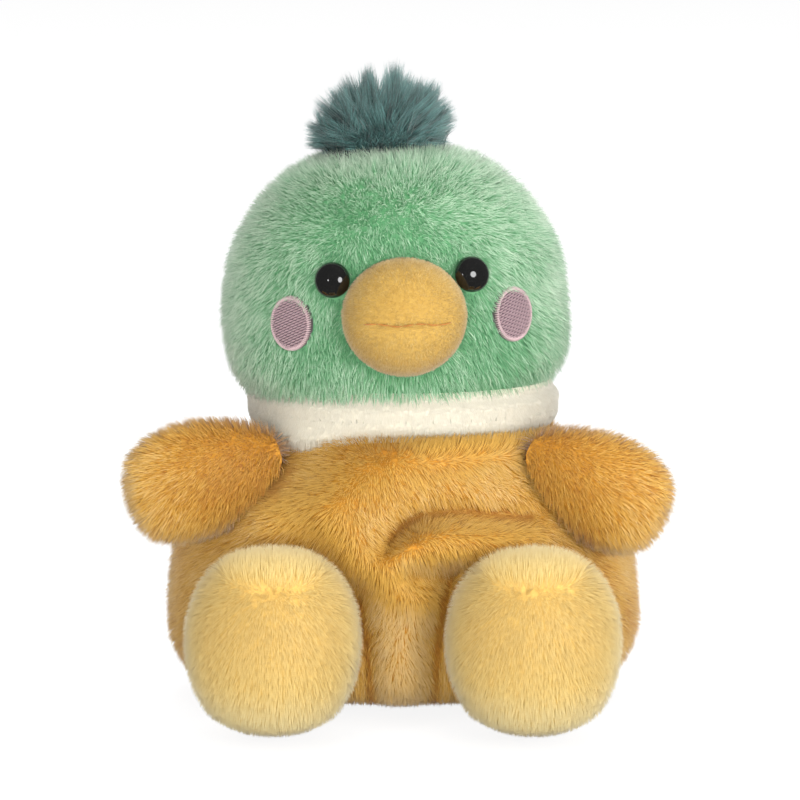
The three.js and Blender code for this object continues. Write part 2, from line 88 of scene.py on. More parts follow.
NECK_WIDTH = 61 * MM
NECK_DEPTH = 53 * MM
COLLAR_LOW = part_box("collar")[0].z
COLLAR_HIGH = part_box("collar")[1].z
COLLAR_MIDDLE = (COLLAR_LOW + COLLAR_HIGH) / 2
COLLAR_BULGE = 1.4 * MM
COLLAR_DEEP = 1.2 * MM  # its cloth lies this deep in its pile
COLLAR_TUCK = 3 * MM  # each of its bands runs on this far inside its neighbour
COLLAR_EDGE = 0.04 * MM  # the rounding of a band's edges
SAG_SIDE = -19.5 * MM  # where its lower edge sags
SAG_HALF = 6.5 * MM
SAG_DROP = 1.9 * MM
SAG_OUT = 1.8 * MM
SAG_LIP = 1.5 * MM  # how far up the sagging edge stands out

HEAD_WIDTH = 70 * MM
HEAD_DEPTH = 59 * MM
HEAD_HEIGHT = 50 * MM
HEAD_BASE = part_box("head_cover")[0].z
HEAD_SHIFT = -0.9 * MM  # the head is sewn on this far off the middle of the neck
HEAD_ROLL = math.radians(2)  # the crown leans to -X
HEAD_TURN = math.radians(3.6)  # the face turns to +X
SKIRT_SHARES = ((0, -0.22), (0.5, -0.2), (0.9, -0.11))
JAW_SHARES = ((0, 0), (0.74, 0.115), (0.99, 0.229), (1, 0.344))
CROWN_SHARES = (
    (0.985, 0.458), (0.95, 0.573), (0.875, 0.687), (0.755, 0.8), (0.555, 0.916), (0.3, 0.978), (0, 1),
)
EYE_DENT = 0.2 * MM
WASHER_ROOM = 4.5 * MM  # how far the filling is drawn in behind an eye, for its washer
WASHER_LEVEL = 3 * MM  # what lies deeper than this makes that room
DENT_SPREAD = 5 * MM
SEAM_DENT = 0.5 * MM
SEAM_SPREAD = 0.2  # as a share of the beak's half size

BEAK_WIDTH = 25 * MM
BEAK_HEIGHT = 23.6 * MM
BEAK_REACH = 12.6 * MM
BEAK_SUNK = 1.5 * MM
BEAK_RISE = 18.2 * MM
MOUTH_WIDTH = 19 * MM
MOUTH_DROP = 0.1 * MM
BEAK_DEEP = 0.65 * MM  # its cloth lies this deep in its nap
MOUTH_CREASES = ((0.45 * MM, 2.2 * MM), (0.5 * MM, 0.55 * MM))  # depth and spread of what the thread draws in
MOUTH_STITCHES = 7
MOUTH_THREAD = (0.07 * MM, 0.16 * MM)  # radius at the ends and in the middle of a stitch
MOUTH_ARCH = 0.32 * MM  # how far a stitch stands out in the middle
MOUTH_DIVE = 0.1 * MM  # and how deep its ends lie
MOUTH_SHARE = 0.88  # of the crease's width that the stitches take
MOUTH_WAVER = 0.2 * MM

EYE_SPACING = 27.6 * MM
EYE_RISE = 25.7 * MM
EYE_RADIUS = 3.5 * MM
EYE_DOME = 3.1 * MM
EYE_RIM = 0.6 * MM
EYE_SEAT = 1.1 * MM  # the eye's back lies this deep in the pile
EYE_EDGE = 0.15 * MM  # the rounding of its edges
SHANK_RADIUS = 1.3 * MM
SHANK_LENGTH = 6 * MM

CHEEK_SPACING = 45.5 * MM
CHEEK_RISE = 17 * MM
CHEEK_WIDTH = 9.1 * MM
CHEEK_HEIGHT = 10.6 * MM
CHEEK_CURVES = (0.42 * HEAD_DEPTH, 0.62 * HEAD_HEIGHT)  # the face's radii there, across and up
CHEEK_SUNK = 1.35 * MM  # the pad under the stitches lies this deep in the head's pile
PAD_CROWN = 0.2 * MM
PAD_THICK = 0.95 * MM
ROW_SPACING = 0.47 * MM
ROW_STITCH = 1.1 * MM
ROW_SLANT = math.radians(24)
ROW_RISE = 0.4 * MM
ROW_THREAD = (0.03 * MM, 0.22 * MM)
ROWS_SHARE = 0.88  # the rows end at this share of the oval
BORDER_STITCHES = 74
BORDER_RISE = 0.5 * MM
BORDER_THREAD = (0.09 * MM, 0.19 * MM)

TUFT_SHIFT = -2 * MM
TUFT_ROOT_WIDTH = 20 * MM
TUFT_ROOT_DEPTH = 11 * MM
TUFT_LOCKS = (  # degrees towards +X and towards the back, share of the length, half width in degrees
    (-80, 0, 0.84, 8), (-66, -3, 0.88, 9), (-50, 3, 0.92, 10), (-34, -3, 0.9, 6), (-21, 3, 0.95, 10),
    (-7, -2, 0.98, 7), (12, 0, 1.04, 7), (24, -3, 0.95, 4), (33, 3, 0.94, 5), (43, -2, 1.02, 6),
    (56, 3, 0.98, 8), (68, -3, 0.92, 8), (80, 0, 0.78, 8),
)
TUFT_LAYERS = (  # degrees towards the back, share of the length, wisps to a lock, strands to a wisp
    (26, 0.9, 7, 30), (8, 1, 12, 32), (-14, 0.96, 11, 32), (-36, 0.8, 8, 32), (-60, 0.62, 7, 28),
)
TUFT_STRAND = 0.17 * MM
TUFT_WISP = 0.75 * MM  # how far the strands of a wisp spread at its root
TUFT_BRUSH = 0.5 * MM  # and how far they stray at its tip
TUFT_BOW = 0.12  # how far a strand bows up, as a share of its length
TUFT_GLINTS = 0.12  # share of the strands painted pale all along, as painted glints

WING_LENGTH = 30.5 * MM
WING_HEIGHT = 25.6 * MM
WING_THICK = 17.5 * MM
WING_DROOP = {"right": math.radians(15.8), "left": math.radians(25)}
WING_FULLNESS = {"right": 0.985, "left": 0.95}  # the left one is stuffed a little less
WING_FORWARD = math.radians(10)
WING_INSET = 5 * MM
WING_SHARES = ((0.36, 0.02), (0.62, 0.13), (0.86, 0.32), (1, 0.56), (0.93, 0.78), (0.62, 0.94))

FOOT_WIDTH = 36.2 * MM
FOOT_HEIGHT = 39 * MM
FOOT_DEPTH = 33 * MM
FOOT_SPACING = 50 * MM
FOOT_OUT = 13.6 * MM
FOOT_SHARES = ((0.42, 0.03), (0.72, 0.13), (0.93, 0.3), (1, 0.5), (0.94, 0.7), (0.74, 0.87), (0.43, 0.97))
FOOT_SEAM = 31.6 * MM  # the seam across the front of a foot, above the floor
FOOT_SEAM_HALF = 8.5 * MM
FOOT_CREASE = 0.2 * MM
FOOT_CREASE_SPREAD = 1.2 * MM
FOOT_GAP = 0.6 * MM  # a foot's cloth lies this far above its lowest pile

TAIL_LENGTH = 15 * MM
TAIL_WIDTH = 17 * MM
TAIL_THICK = 10 * MM
TAIL_INSET = 6 * MM
TAIL_RISE = math.radians(32)
TAIL_SHARES = ((0.5, 0.03), (0.85, 0.2), (1, 0.42), (0.82, 0.68), (0.45, 0.92))

# Folds of the loosely filled front. Each is a line through points given as shares of half the body's width
# and of its height, then the shares of the common rise and spread.
FOLD_RISE = 3.4 * MM
FOLD_SPREAD = 4.2 * MM
FOLD_SHARES = (
    (((-0.57, 0.72), (-0.25, 0.85), (0, 0.93), (0.5, 1)), 1, 1.35),  # the roll across the chest
    (((-0.52, 0.84), (-0.44, 0.93)), -0.7, 1.1),  # the hollow above it
    (((-0.06, 0.65), (-0.01, 0.715), (0.06, 0.745), (0.2, 0.755), (0.5, 0.72)), -1.15, 0.55),  # under it
    (((0, 0.63), (0.15, 0.665), (0.5, 0.65)), 0.85, 0.75),  # the lower roll
    (((0.02, 0.555), (0.12, 0.53), (0.22, 0.54)), -0.7, 0.5),  # under that one
    (((-0.28, 0.74), (-0.17, 0.62), (0, 0.5), (0.09, 0.45)), 0.9, 1),  # the roll that runs down
    (((-0.2, 0.5), (-0.15, 0.34), (-0.13, 0.12)), -0.8, 0.5),  # the crease beside a foot
    (((0.21, 0.55), (0.15, 0.45), (0.13, 0.12)), -0.8, 0.5),  # and beside the other
    (((-0.01, 0.34), (-0.01, 0)), 0.5, 0.9),  # the bottom panel
)
FOLD_FADE_SHARE = 0.97

# Where the body's pile is painted pale, as painted sheen on the lips of the folds and on the -X flank and as
# painted light at the bottom between the feet; where it is painted deep, as painted shade in the creases, the
# hollows and under the collar; and where it lies smooth: lines as for the folds
# Painted light: sheen on the fold lips and the -X flank, and light on the bottom panel between the feet
PAINTED_LIGHT_SHARES = (
    (((-0.15, 0.7), (-0.1, 0.735), (0, 0.785), (0.12, 0.81)), 0.9, 0.5),
    (((0.15, 0.815), (0.3, 0.845), (0.47, 0.86)), 0.8, 0.85),
    (((0.36, 0.87), (0.5, 0.9)), 0.7, 0.9),
    (((0.01, 0.6), (0.11, 0.585), (0.23, 0.6)), 0.8, 0.45),
    (((-0.1, 0.42), (-0.01, 0.4), (0.08, 0.395)), 0.5, 0.9),
    (((-0.01, 0.27), (0, 0)), 1, 1.1),
    (((-0.95, 0.4), (-0.62, 0.66), (-0.42, 0.72)), 0.3, 1.2),
)
# Painted shade: in the creases under and beside the rolls, in the hollows and under the collar
PAINTED_SHADE_SHARES = (
    (((-0.05, 0.665), (0, 0.71), (0.08, 0.745), (0.18, 0.755), (0.32, 0.745), (0.5, 0.72)), 0.8, 0.35),
    (((0.21, 0.55), (0.16, 0.47), (0.13, 0.3), (0.12, 0.05)), 0.6, 0.3),
    (((-0.18, 0.47), (-0.15, 0.34), (-0.12, 0.05)), 0.6, 0.3),
    (((-0.48, 0.97), (-0.45, 0.89), (-0.52, 0.83)), 0.4, 0.9),
    (((-0.25, 1.01), (0.07, 1.02), (0.5, 1.02)), 0.25, 0.4),
    (((0.6, 1), (0.6, 0.75)), 0.4, 0.5),
    (((-0.58, 1), (-0.64, 0.8)), 0.5, 0.5),
)
SMOOTH_SHARES = (
    (((-0.45, 0.76), (-0.25, 0.84), (-0.01, 0.93), (0.27, 0.96), (0.53, 0.98)), 1, 1.1),
    (((0.02, 0.64), (0.15, 0.67), (0.35, 0.67), (0.5, 0.65)), 1, 0.7),
    (((-0.28, 0.72), (-0.17, 0.62), (-0.01, 0.51), (0.09, 0.46)), 1, 0.9),
)

# How deep things lie, and the room that limbs keep
FILLING_GAP = 1.2 * MM  # the filling lies this far inside the backing
PELLET_GAP = 0.3 * MM  # and the body's this far above the pellet bag
REST_LEVEL = 0.15 * MM  # pile under the toy lies flat from here up
LIMB_MARGIN = 0.4 * MM  # between a limb and the body over the limb's travel
TAIL_MARGIN = -1.5 * MM  # the tail may press into the body's pile
TRAVEL_STEPS = 5  # angles at which that is seen to
FRONT_PANEL = 42  # degrees that the front panel of cloth reaches to either side

# How finely skins are worked out: points round a form and rows along it
SKIN_GRID = (112, 72)
LIMB_GRID = (80, 56)
TAIL_GRID = (56, 36)
BEAK_GRID = (96, 128)
FILLING_GRID = (48, 28)
BEAK_FILLING_GRID = (40, 24)
PROFILE_STEPS = 600
POINT_SIZE = SEAT_CUT * 1e-3  # a row of points narrower than this is one point

# How pile grows. A drift is the size of its clumps, its strength and what it adds to the seed.
STRAND_LAYERS = (("undercoat", (0.75,), 0.92), ("topcoat", (0.45, 1.35), 1.1))  # lean of each step, length
STRAND_LENGTHS = (0.78, 1.12)
STRAND_WIDTHS = (0.75, 1.2)
STRAND_TAPER = 0.55
STRAND_SHARE = 0.45  # how much of a strand's own roundness its shading keeps
STRAND_SUNK = 0.12 * MM  # how deep a strand is rooted
STRAND_WANDER = ((1.1 * MM, 0.3, 5), (2.4 * MM, 0.2, 3), (8 * MM, 0.3, 4))
STRAND_STRAY = 0.18
PRESSED_THIN = 0.85
PRESSED_SHORT = 0.6
SMOOTH_TONE = 0.85  # how much of its mottling, its wander and its strands' roundness smooth pile loses
SMOOTH_WANDER = 0.75
SMOOTH_ROUND = 0.9
TONE_DRIFTS = ((9 * MM, 0.2, 1), (1.6 * MM, 0.16, 2))
TONE_GRAIN = 0.2
TONE_GLINTS = (1 / 12, 0.45)  # share of the strands painted pale as glints, a painted highlight, and by how much
TONE_DARKS = (1 / 8, 0.35)  # share of those painted darker, as painted shade between their neighbours, and by how much
TONE_LIMITS = (0.02, 0.98)
EVEN_TONE = 0.42  # the tone between deep and pale

PILE_UV = "OFBake"  # across: the strand's tone, up: root to tip
TONE_STRIP = 0.002
MAP_SPAN = 0.97
MAP_STAGGER = (0.004, 0.01, 0.016)  # a ring's three corners lie a little apart on the map
MAP_TIP = 0.996
MIX_A, MIX_B, MIX_RESULT = 6, 7, 2  # the colour sockets of a Mix node

# The plushes: the name of the pile and of its backing, the key of its colours, how far it dims at the root
# as painted shade between the strands, how much of the tip's shade even pile takes, and from which share of
# its length up pale pile pales
PLUSHES = {
    "green_plush": ("Green polyester plush", "Green knitted backing", "green", 0.45, 0.35, 0.6),
    "tan_plush": ("Tan polyester plush", "Tan knitted backing", "tan", 0.35, 0.1, 0.2),
    "yellow_plush": ("Yellow polyester plush", "Yellow knitted backing", "yellow", 0.1, 0.3, 0.3),
    "cream_plush": ("Cream shorn plush", "Cream knitted backing", "cream", 0.05, 0.4, 0.3),
    "teal_plush": ("Teal long-pile plush", "Teal knitted backing", "teal", 0.4, 0.5, 0.6),
    "orange_velour": ("Orange velour", "Orange velour backing", "velour", 0.2, 0.25, 0.4),
}

CAMERA_RISE = math.radians(8)
CAMERA_DISTANCE = 1.0
CAMERA_CLIP = 0.05
VIEW_WIDTH = 160 * MM  # what the picture spans at the middle of the toy
VIEW_CENTRE = Vector((-0.6 * MM, 0, 59.5 * MM))
WHITE = "ffffff"
ROOM_LIGHT = 0.85
ROOM_MIRRORED = 0.12  # in polished plastic the room shows this dim
PAPER_SHADE = "efefef"
PAPER_GLOW = 1.13
PAPER_GLOWS = 0.78  # share of the glow in what the camera sees
FLOOR_THICK = 5 * MM
FLOOR_REACH = (3.0, 0.3, 0.0)  # radii of its rows of points
LAMPS = (  # name, place, diameter, watts, and whether the eyes mirror it
    ("key", (0.62, -1.2, 0.34), 0.65, 9.5, True),
    ("glint", (-0.85, -1.2, 0.3), 0.16, 0.7, True),
    ("front", (-0.1, -1.5, 0.05), 0.8, 20.0, False),
    ("side", (1.3, -0.3, 0.3), 0.8, 4.0, False),
    ("top", (0.1, 0.1, 1.2), 0.8, 6.5, False),
)

DOWN = np.array((0.0, 0.0, -1.0))
JOINTS = {joint["name"]: joint for joint in frame["joints"]}
SIDES = (("right", -1), ("left", 1))


def linear(code):
    """The linear colour of an sRGB hex code."""
    channels = [int(code[i:i + 2], 16) / 255 for i in (0, 2, 4)]
    return tuple(c / 12.92 if c <= 0.04045 else ((c + 0.055) / 1.055) ** 2.4 for c in channels)


def size(name, description, default):
    """A length that a user may change."""
    return FloatProperty(
        name=name, description=description, default=default, min=0, unit="LENGTH", precision=5
    )


def colour(name, description, code):
    """A colour that a user may change."""
    return FloatVectorProperty(
        name=name, description=description, default=linear(code), subtype="COLOR", size=3, min=0, max=1
    )


class PlushSizes(bpy.types.PropertyGroup):
    """Sizes of the pile and of what is sewn on."""

    skin_depth: size("Skin depth", "How far the backing cloth lies inside the level of the pile", 2.5 * MM)
    pile_length: size("Pile length", "Length of the long pile", 3.2 * MM)
    pile_width: size("Strand width", "Thickness of a strand, four fibres thick so that it shows", 0.18 * MM)
    collar_length: size("Collar pile", "Length of the collar's shorn pile", 1.2 * MM)
    nap_length: size("Velour nap", "Length of the beak's short nap", 0.75 * MM)
    tuft_length: size("Tuft length", "Length of the longest locks on the crown", 18.5 * MM)
    lean: FloatProperty(
        name="Lean", description="How far the pile is brushed over, 0 standing and 1 at 45 degrees",
        default=0.6, min=0, max=3,
    )
    undercoat: FloatProperty(
        name="Undercoat", description="Straight strands on each square millimetre", default=10, min=0, max=30
    )
    topcoat: FloatProperty(
        name="Top coat", description="Curved strands on each square millimetre", default=0.8, min=0, max=20
    )


class PlushColours(bpy.types.PropertyGroup):
    """Colours of the fabrics, each plush from the root of its pile to the tips."""

    green_root: colour("Green root", "Head pile at the backing", "5a9e69")
    green: colour("Green", "Head pile", "8bc194")
    green_tip: colour("Green tip", "Head pile at the tips", "dfedd6")
    tan_root: colour("Tan root", "Body pile at the backing", "b87522")
    tan: colour("Tan", "Body pile", "e6b64a")
    tan_tip: colour("Tan tip", "Body pile at the tips", "e6c68e")
    yellow_root: colour("Yellow root", "Foot pile at the backing", "d8b062")
    yellow: colour("Yellow", "Foot pile", "e6c46e")
    yellow_tip: colour("Yellow tip", "Foot pile at the tips", "ebe1b2")
    cream_root: colour("Cream root", "Collar pile at the backing", "d2cbb6")
    cream: colour("Cream", "Collar pile", "ddd7c6")
    cream_tip: colour("Cream tip", "Collar pile at the tips", "e8e3d4")
    teal_root: colour("Teal root", "Tuft at the crown", "0a2523")
    teal: colour("Teal", "Tuft", "1f5a56")
    teal_tip: colour("Teal tip", "Tuft at the tips of the locks", "8cbdb8")
    velour_root: colour("Velour backing", "Beak under its nap", "b08a3e")
    velour: colour("Velour", "Beak nap", "c8a65a")
    velour_tip: colour("Velour tip", "Beak nap at the tips", "dabe7e")
    pink: colour("Pink thread", "Stitching of the cheeks", "9c8388")
    pale_pink: colour("Pale pink thread", "Satin border of the cheeks", "bca1a4")
    # dark: partly the underlay's own colour, partly painted shade in the gaps between the stitches
    mauve: colour("Mauve thread", "Underlay of the cheeks", "604a54")
    brown: colour("Brown thread", "Stitching of the mouth", "b07230")
    black: colour("Black plastic", "Domed eyes", "0c0c0c")


# Numbers


def unit(vectors):
    """Vectors scaled to a length of one."""
    return vectors / np.maximum(np.linalg.norm(vectors, axis=-1, keepdims=True), 1e-12)


def ease(value, low, high):
    """Smooth step: 0 below low, 1 above high, and three squares less two cubes between."""
    t = np.clip((np.asarray(value, float) - low) / (high - low), 0, 1)
    return t * t * (3 - 2 * t)


def blend_between(a, b, share):
    """The point a share of the way from a to b."""
    return a + (b - a) * share


def turn_about(axis, angle):
    """Rotation matrix about a unit axis: cosine times the identity, plus sine times the cross product, plus
    the rest times the axis with itself."""
    x, y, z = axis
    cross = np.array(((0, -z, y), (z, 0, -x), (-y, x, 0)))
    cosine = math.cos(angle)
    return cosine * np.eye(3) + math.sin(angle) * cross + (1 - cosine) * np.outer(axis, axis)


def circle(count):
    """Angles evenly round a circle."""
    return np.linspace(0, 2 * math.pi, count, endpoint=False)


def ovals(across, deep, heights, count):
    """Rows of count points round the z axis: x = -across cos(turn), y = -deep sin(turn), z = height. Each of
    the three is one number or one for each row."""
    turn = circle(count)
    across, deep, heights = (np.reshape(value, (-1, 1)) for value in (across, deep, heights))
    return np.stack(np.broadcast_arrays(-np.cos(turn) * across, -np.sin(turn) * deep, heights), axis=-1)


def spline(points, at):
    """Curve through points, read at shares from 0 to 1: on each span the cubic whose slope at either end is
    half the step between the neighbours of that end."""
    points = np.asarray(points, float)
    last = len(points) - 1
    place = np.clip(at, 0, 1) * last
    span = np.minimum(place.astype(int), last - 1)
    t = (place - span)[:, None]
    before, start = points[np.maximum(span - 1, 0)], points[span]
    end, after = points[span + 1], points[np.minimum(span + 2, last)]
    rise, fall = (end - before) / 2, (after - start) / 2
    cubic = 2 * start - 2 * end + rise + fall
    square = 3 * end - 3 * start - 2 * rise - fall
    return ((cubic * t + square) * t + rise) * t + start


def drift(points, cell, seed, channels=3):
    """Smooth noise from -1 to 1: random values on the corners of a cubic lattice, eased between corners. The
    corner's value is picked from a table by its numbers times three primes."""
    table = np.random.default_rng(seed).uniform(-1, 1, (4093, channels))
    primes = np.array((73856093, 19349663, 83492791))
    place = points / cell
    low = np.floor(place).astype(np.int64)
    share = ease(place - low, 0, 1)
    total = np.zeros((len(points), channels))
    for corner in np.ndindex(2, 2, 2):
        key = np.bitwise_xor.reduce((low + corner) * primes, axis=1) % len(table)
        weight = np.prod(np.where(corner, share, 1 - share), axis=1)
        total += weight[:, None] * table[key]
    return total


def drifts(points, kinds, seed, channels=3):
    """Sum of drifts, each given as its cell, its strength and what it adds to the seed."""
    return sum(strength * drift(points, cell, seed + more, channels) for cell, strength, more in kinds)


# Stuffed forms


class Form:
    """A stuffed shape in its own frame: a profile swept round the z axis, narrowed front to back by a share
    that may change with height, then dressed with folds, dents or flats."""

    def __init__(self, profile, depth, turn=np.eye(3), base=(0, 0, 0), start=0.0, dress=None):
        self.profile = np.array(profile, float)
        self.depth = depth
        self.turn = turn
        self.base = np.array(base, float)
        self.start = start
        self.dress = dress

    def out(self, points):
        """Points of the form's own frame in the row frame."""
        return points @ self.turn.T + self.base

    def slopes(self, along):
        """Unit direction of the profile at shares of its length, level at the poles."""
        step = 1 / PROFILE_STEPS ** 2
        slope = unit(spline(self.profile, along + step) - spline(self.profile, along - step))
        pole = spline(self.profile, along)[:, 0] < POINT_SIZE
        slope[pole & (along < 0.5)] = (1, 0)
        slope[pole & (along > 0.5)] = (-1, 0)
        return slope

    def share_at(self, height):
        """Share of the profile where a height is reached on the way up."""
        along = np.linspace(max(self.start, 0.02), 1, PROFILE_STEPS)
        heights = np.maximum.accumulate(spline(self.profile, along)[:, 1])
        return float(np.interp(height, heights, along))

    def rows(self, swell, grid, start=None):
        """Grid of points in the form's own frame. Radius and depth grow by swell along the profile's normal:
        x = -cos(turn) (r + swell n), y = -sin(turn) (r depth + swell n), z = height - swell across the slope.
        Rows lie at even steps along the profile."""
        around, rings = grid
        fine = np.linspace(self.start if start is None else start, 1, PROFILE_STEPS)
        run = np.cumsum(np.linalg.norm(np.diff(spline(self.profile, fine), axis=0), axis=1))
        run = np.concatenate(([0], run))
        along = np.interp(np.linspace(0, run[-1], rings + 1), run, fine)
        (radius, height), slope = spline(self.profile, along).T, self.slopes(along)
        grown, deep = swell * slope[:, 1], radius * self.depth(height)
        points = ovals(radius + grown, deep + grown, height - swell * slope[:, 0], around)
        if self.dress:
            facing = np.broadcast_to(np.maximum(0, np.sin(circle(around))), points.shape[:2])
            points = self.dress(points, facing, swell)
        return points

    def place(self, x, z, side=-1):
        """The point of the form's front or back over x and z in its own frame, and the direction straight
        out of it there, both in the row frame."""
        along = np.array([self.share_at(z)])
        radius = spline(self.profile, along)[0, 0]
        deep = radius * float(self.depth(z))
        slope = self.slopes(along)[0]
        spot = np.array((x, side * deep * math.sqrt(max(0, 1 - (x / radius) ** 2)), z))
        level = unit(np.array((x / radius ** 2, spot[1] / deep ** 2, 0)))
        out = unit(level * slope[1] - np.array((0, 0, slope[0])))
        return self.out(spot), self.turn @ out


def egg(shares, width, depth, length, **placing):
    """An egg from its lower pole at the origin up its own z axis."""
    points = [(0, 0), *((r * width / 2, h * length) for r, h in shares), (0, length)]
    return Form(points, lambda height: depth / width + 0 * np.asarray(height), **placing)


def painted(x, z, lines):
    """Sum over lines of the share of each times exp(-(distance / its share of the spread) squared), the
    distance being that to the nearest of the line's parts."""
    total = np.zeros(np.shape(x))
    scale = np.array((BODY_WIDTH / 2, BODY_HEIGHT))
    for points, strength, spread in lines:
        points = np.array(points) * scale
        nearest = np.full(np.shape(x), np.inf)
        for a, b in zip(points, points[1:]):
            run = b - a
            share = np.clip(((x - a[0]) * run[0] + (z - a[1]) * run[1]) / (run @ run), 0, 1)
            nearest = np.minimum(nearest, np.hypot(x - a[0] - share * run[0], z - a[1] - share * run[1]))
        total += strength * np.exp(-(nearest / (FOLD_SPREAD * spread)) ** 2)
    return total


def fold_lift(x, z):
    """How far the folds lift the front, fading out at the neck seam and at the seat."""
    lift = FOLD_RISE * painted(x, z, FOLD_SHARES)
    return lift * (1 - ease(z, FOLD_FADE_SHARE * BODY_HEIGHT, BODY_HEIGHT)) * ease(z, 0, FOLD_SPREAD)


def fold_front(points, facing, _swell):
    """Lifts the folds out of the body's front and cuts the body flat at the neck seam."""
    folded = points.copy()
    folded[..., 1] -= fold_lift(points[..., 0], points[..., 2]) * np.sqrt(facing)
    folded[..., 2] = np.minimum(folded[..., 2], BODY_HEIGHT)
    return folded


def body_depth(height):
    """Front to back share of the body, easing from the belly's to the neck's."""
    low = BELLY_SHARES[-1][1] * BODY_HEIGHT
    return blend_between(BODY_DEPTH / BODY_WIDTH, NECK_DEPTH / NECK_WIDTH, ease(height, low, BODY_HEIGHT))


def head_depth(height):
    """Front to back share of the head, easing from the neck's to the face's."""
    return blend_between(
        NECK_DEPTH / NECK_WIDTH, HEAD_DEPTH / HEAD_WIDTH, ease(height, 0, JAW_SHARES[-1][1] * HEAD_HEIGHT)
    )


def body_form():
    """The pear-shaped body, upright on its seat."""
    wide, neck, tall = BODY_WIDTH / 2, NECK_WIDTH / 2, BODY_HEIGHT
    points = [
        (0, -SEAT_CUT),
        *((r * wide, h * SEAT_CUT) for r, h in RUMP_SHARES),
        *((r * wide, h * tall) for r, h in BELLY_SHARES),
        *((neck + (wide - neck) * s, h * tall) for s, h in SHOULDER_SHARES),
        *((r * neck, h * tall) for r, h in CAP_SHARES),
    ]
    return Form(points, body_depth, dress=fold_front)


def head_form():
    """The domed head from the neck seam up, rolled and turned a little."""
    neck, wide, tall = NECK_WIDTH / 2, HEAD_WIDTH / 2, HEAD_HEIGHT
    points = [
        *((r * neck, h * tall) for r, h in SKIRT_SHARES),
        *((neck + (wide - neck) * s, h * tall) for s, h in JAW_SHARES),
        *((r * wide, h * tall) for r, h in CROWN_SHARES),
    ]
    turn = turn_about((0, 0, 1), HEAD_TURN) @ turn_about((0, 1, 0), -HEAD_ROLL)
    start = len(SKIRT_SHARES) / (len(points) - 1)
    return Form(points, head_depth, turn=turn, base=(HEAD_SHIFT, 0, HEAD_BASE), start=start, dress=dent_face)


BODY = body_form()


def hinge_of(joint):
    """A joint's point and axis as arrays and its limits in radians."""
    data = JOINTS[joint]
    return np.array(data["pos_m"], float), np.array(data["axis"], float), np.radians(data["range_deg"])


def clear_of_body(points, joint, margin):
    """Points moved clear of the body and the collar over a limb's travel, and which of them moved.

    At each of several angles the points are turned about the hinge line, one that lies within the body's
    oval for its height plus the margin is pushed out level from the body's axis to it, and all are turned
    back."""
    middle, axis, (low, high) = hinge_of(joint)
    along = np.linspace(BODY.share_at(0), 1, PROFILE_STEPS)
    outline = spline(BODY.profile, along)
    outline = outline[outline[:, 1] <= BODY_HEIGHT]
    collar = NECK_WIDTH / 2 + COLLAR_BULGE
    moved = np.zeros(points.shape[:-1], bool)
    for angle in np.linspace(low, high, TRAVEL_STEPS):
        turn = turn_about(axis, angle)
        there = (points - middle) @ turn.T + middle
        x, y, z = np.moveaxis(there, -1, 0)
        radius = np.interp(z, outline[:, 1], outline[:, 0])
        radius = np.where(z > BODY_HEIGHT, collar, radius)
        deep = radius * body_depth(z) + margin + np.where(y < 0, np.maximum(0, fold_lift(x, z)), 0)
        reach = np.hypot(x / (radius + margin), y / deep)
        inside = (reach < 1) & (z < HEAD_BASE)
        scale = np.where(inside, 1 / np.maximum(reach, 0.05), 1)
        there = there * np.stack((scale, scale, np.ones_like(scale)), axis=-1)
        points = (there - middle) @ turn + middle
        moved |= inside & (scale > 1.01)
    return points, moved


def collar_sag(points):
    """How much the collar's lower edge sags in front of the body's right shoulder, from nought to one:
    exp(-((x - SAG_SIDE) / SAG_HALF) squared)."""
    return np.exp(-((points[..., 0] - SAG_SIDE) / SAG_HALF) ** 2) * (points[..., 1] < 0)


def collar_bulge(heights):
    """How far the collar stands out at heights: tucked in at the body's seam, full from the middle up and
    less inside the head."""
    share = np.clip((heights - COLLAR_LOW) / (COLLAR_HIGH - COLLAR_LOW), 0, 0.5)
    full = 1 - 0.8 * ease(heights, COLLAR_HIGH - 0.5 * MM, COLLAR_HIGH + 2.2 * MM)
    return COLLAR_BULGE * full * np.sin(math.pi * share) ** 0.6


def collar_rows(heights, swell):
    """Rows of an oval band: radius = the neck's plus how far the collar stands out there, plus swell. Where
    the collar sags, its lower edge drops and stands out further."""
    bulge = collar_bulge(heights) + swell
    rows = ovals(NECK_WIDTH / 2 + bulge, NECK_DEPTH / 2 + bulge, heights, SKIN_GRID[0])
    sag = collar_sag(rows)
    lip = sag * np.exp(-((rows[..., 2] - COLLAR_LOW) / SAG_LIP) ** 2)
    rows[..., :2] *= 1 + (SAG_OUT * lip / (NECK_WIDTH / 2))[..., None]
    rows[..., 2] -= SAG_DROP * sag * (1 - ease(rows[..., 2], COLLAR_LOW, COLLAR_MIDDLE))
    return rows


# Meshes


def tube_faces(index, low=None, high=None):
    """Triangles over a grid of point numbers whose rows close round: two for each cell and, where given,
    fans from a low point to the first row and from a high one to the last."""
    beside = np.roll(index, -1, axis=1)
    a, b, c, d = index[:-1], beside[:-1], beside[1:], index[1:]
    faces = [np.stack(half, -1).reshape(-1, 3) for half in ((a, b, c), (a, c, d))]
    if low is not None:
        faces.append(np.stack((np.full_like(index[0], low), beside[0], index[0]), -1))
    if high is not None:
        faces.append(np.stack((np.full_like(index[0], high), index[-1], beside[-1]), -1))
    return np.concatenate(faces)


def repeated(faces, count, points):
    """The same triangles for each of count meshes of so many points."""
    return (faces + (np.arange(count) * points)[:, None, None]).reshape(-1, 3)


def joined(meshes):
    """Several meshes as one. Each is its points, its triangles and, if it has them, its map and shading."""
    starts = np.cumsum([0] + [len(mesh[0]) for mesh in meshes])
    meshes = [(points, triangles + start, *maps) for (points, triangles, *maps), start in zip(meshes, starts)]
    return tuple(np.concatenate(part) for part in zip(*meshes))


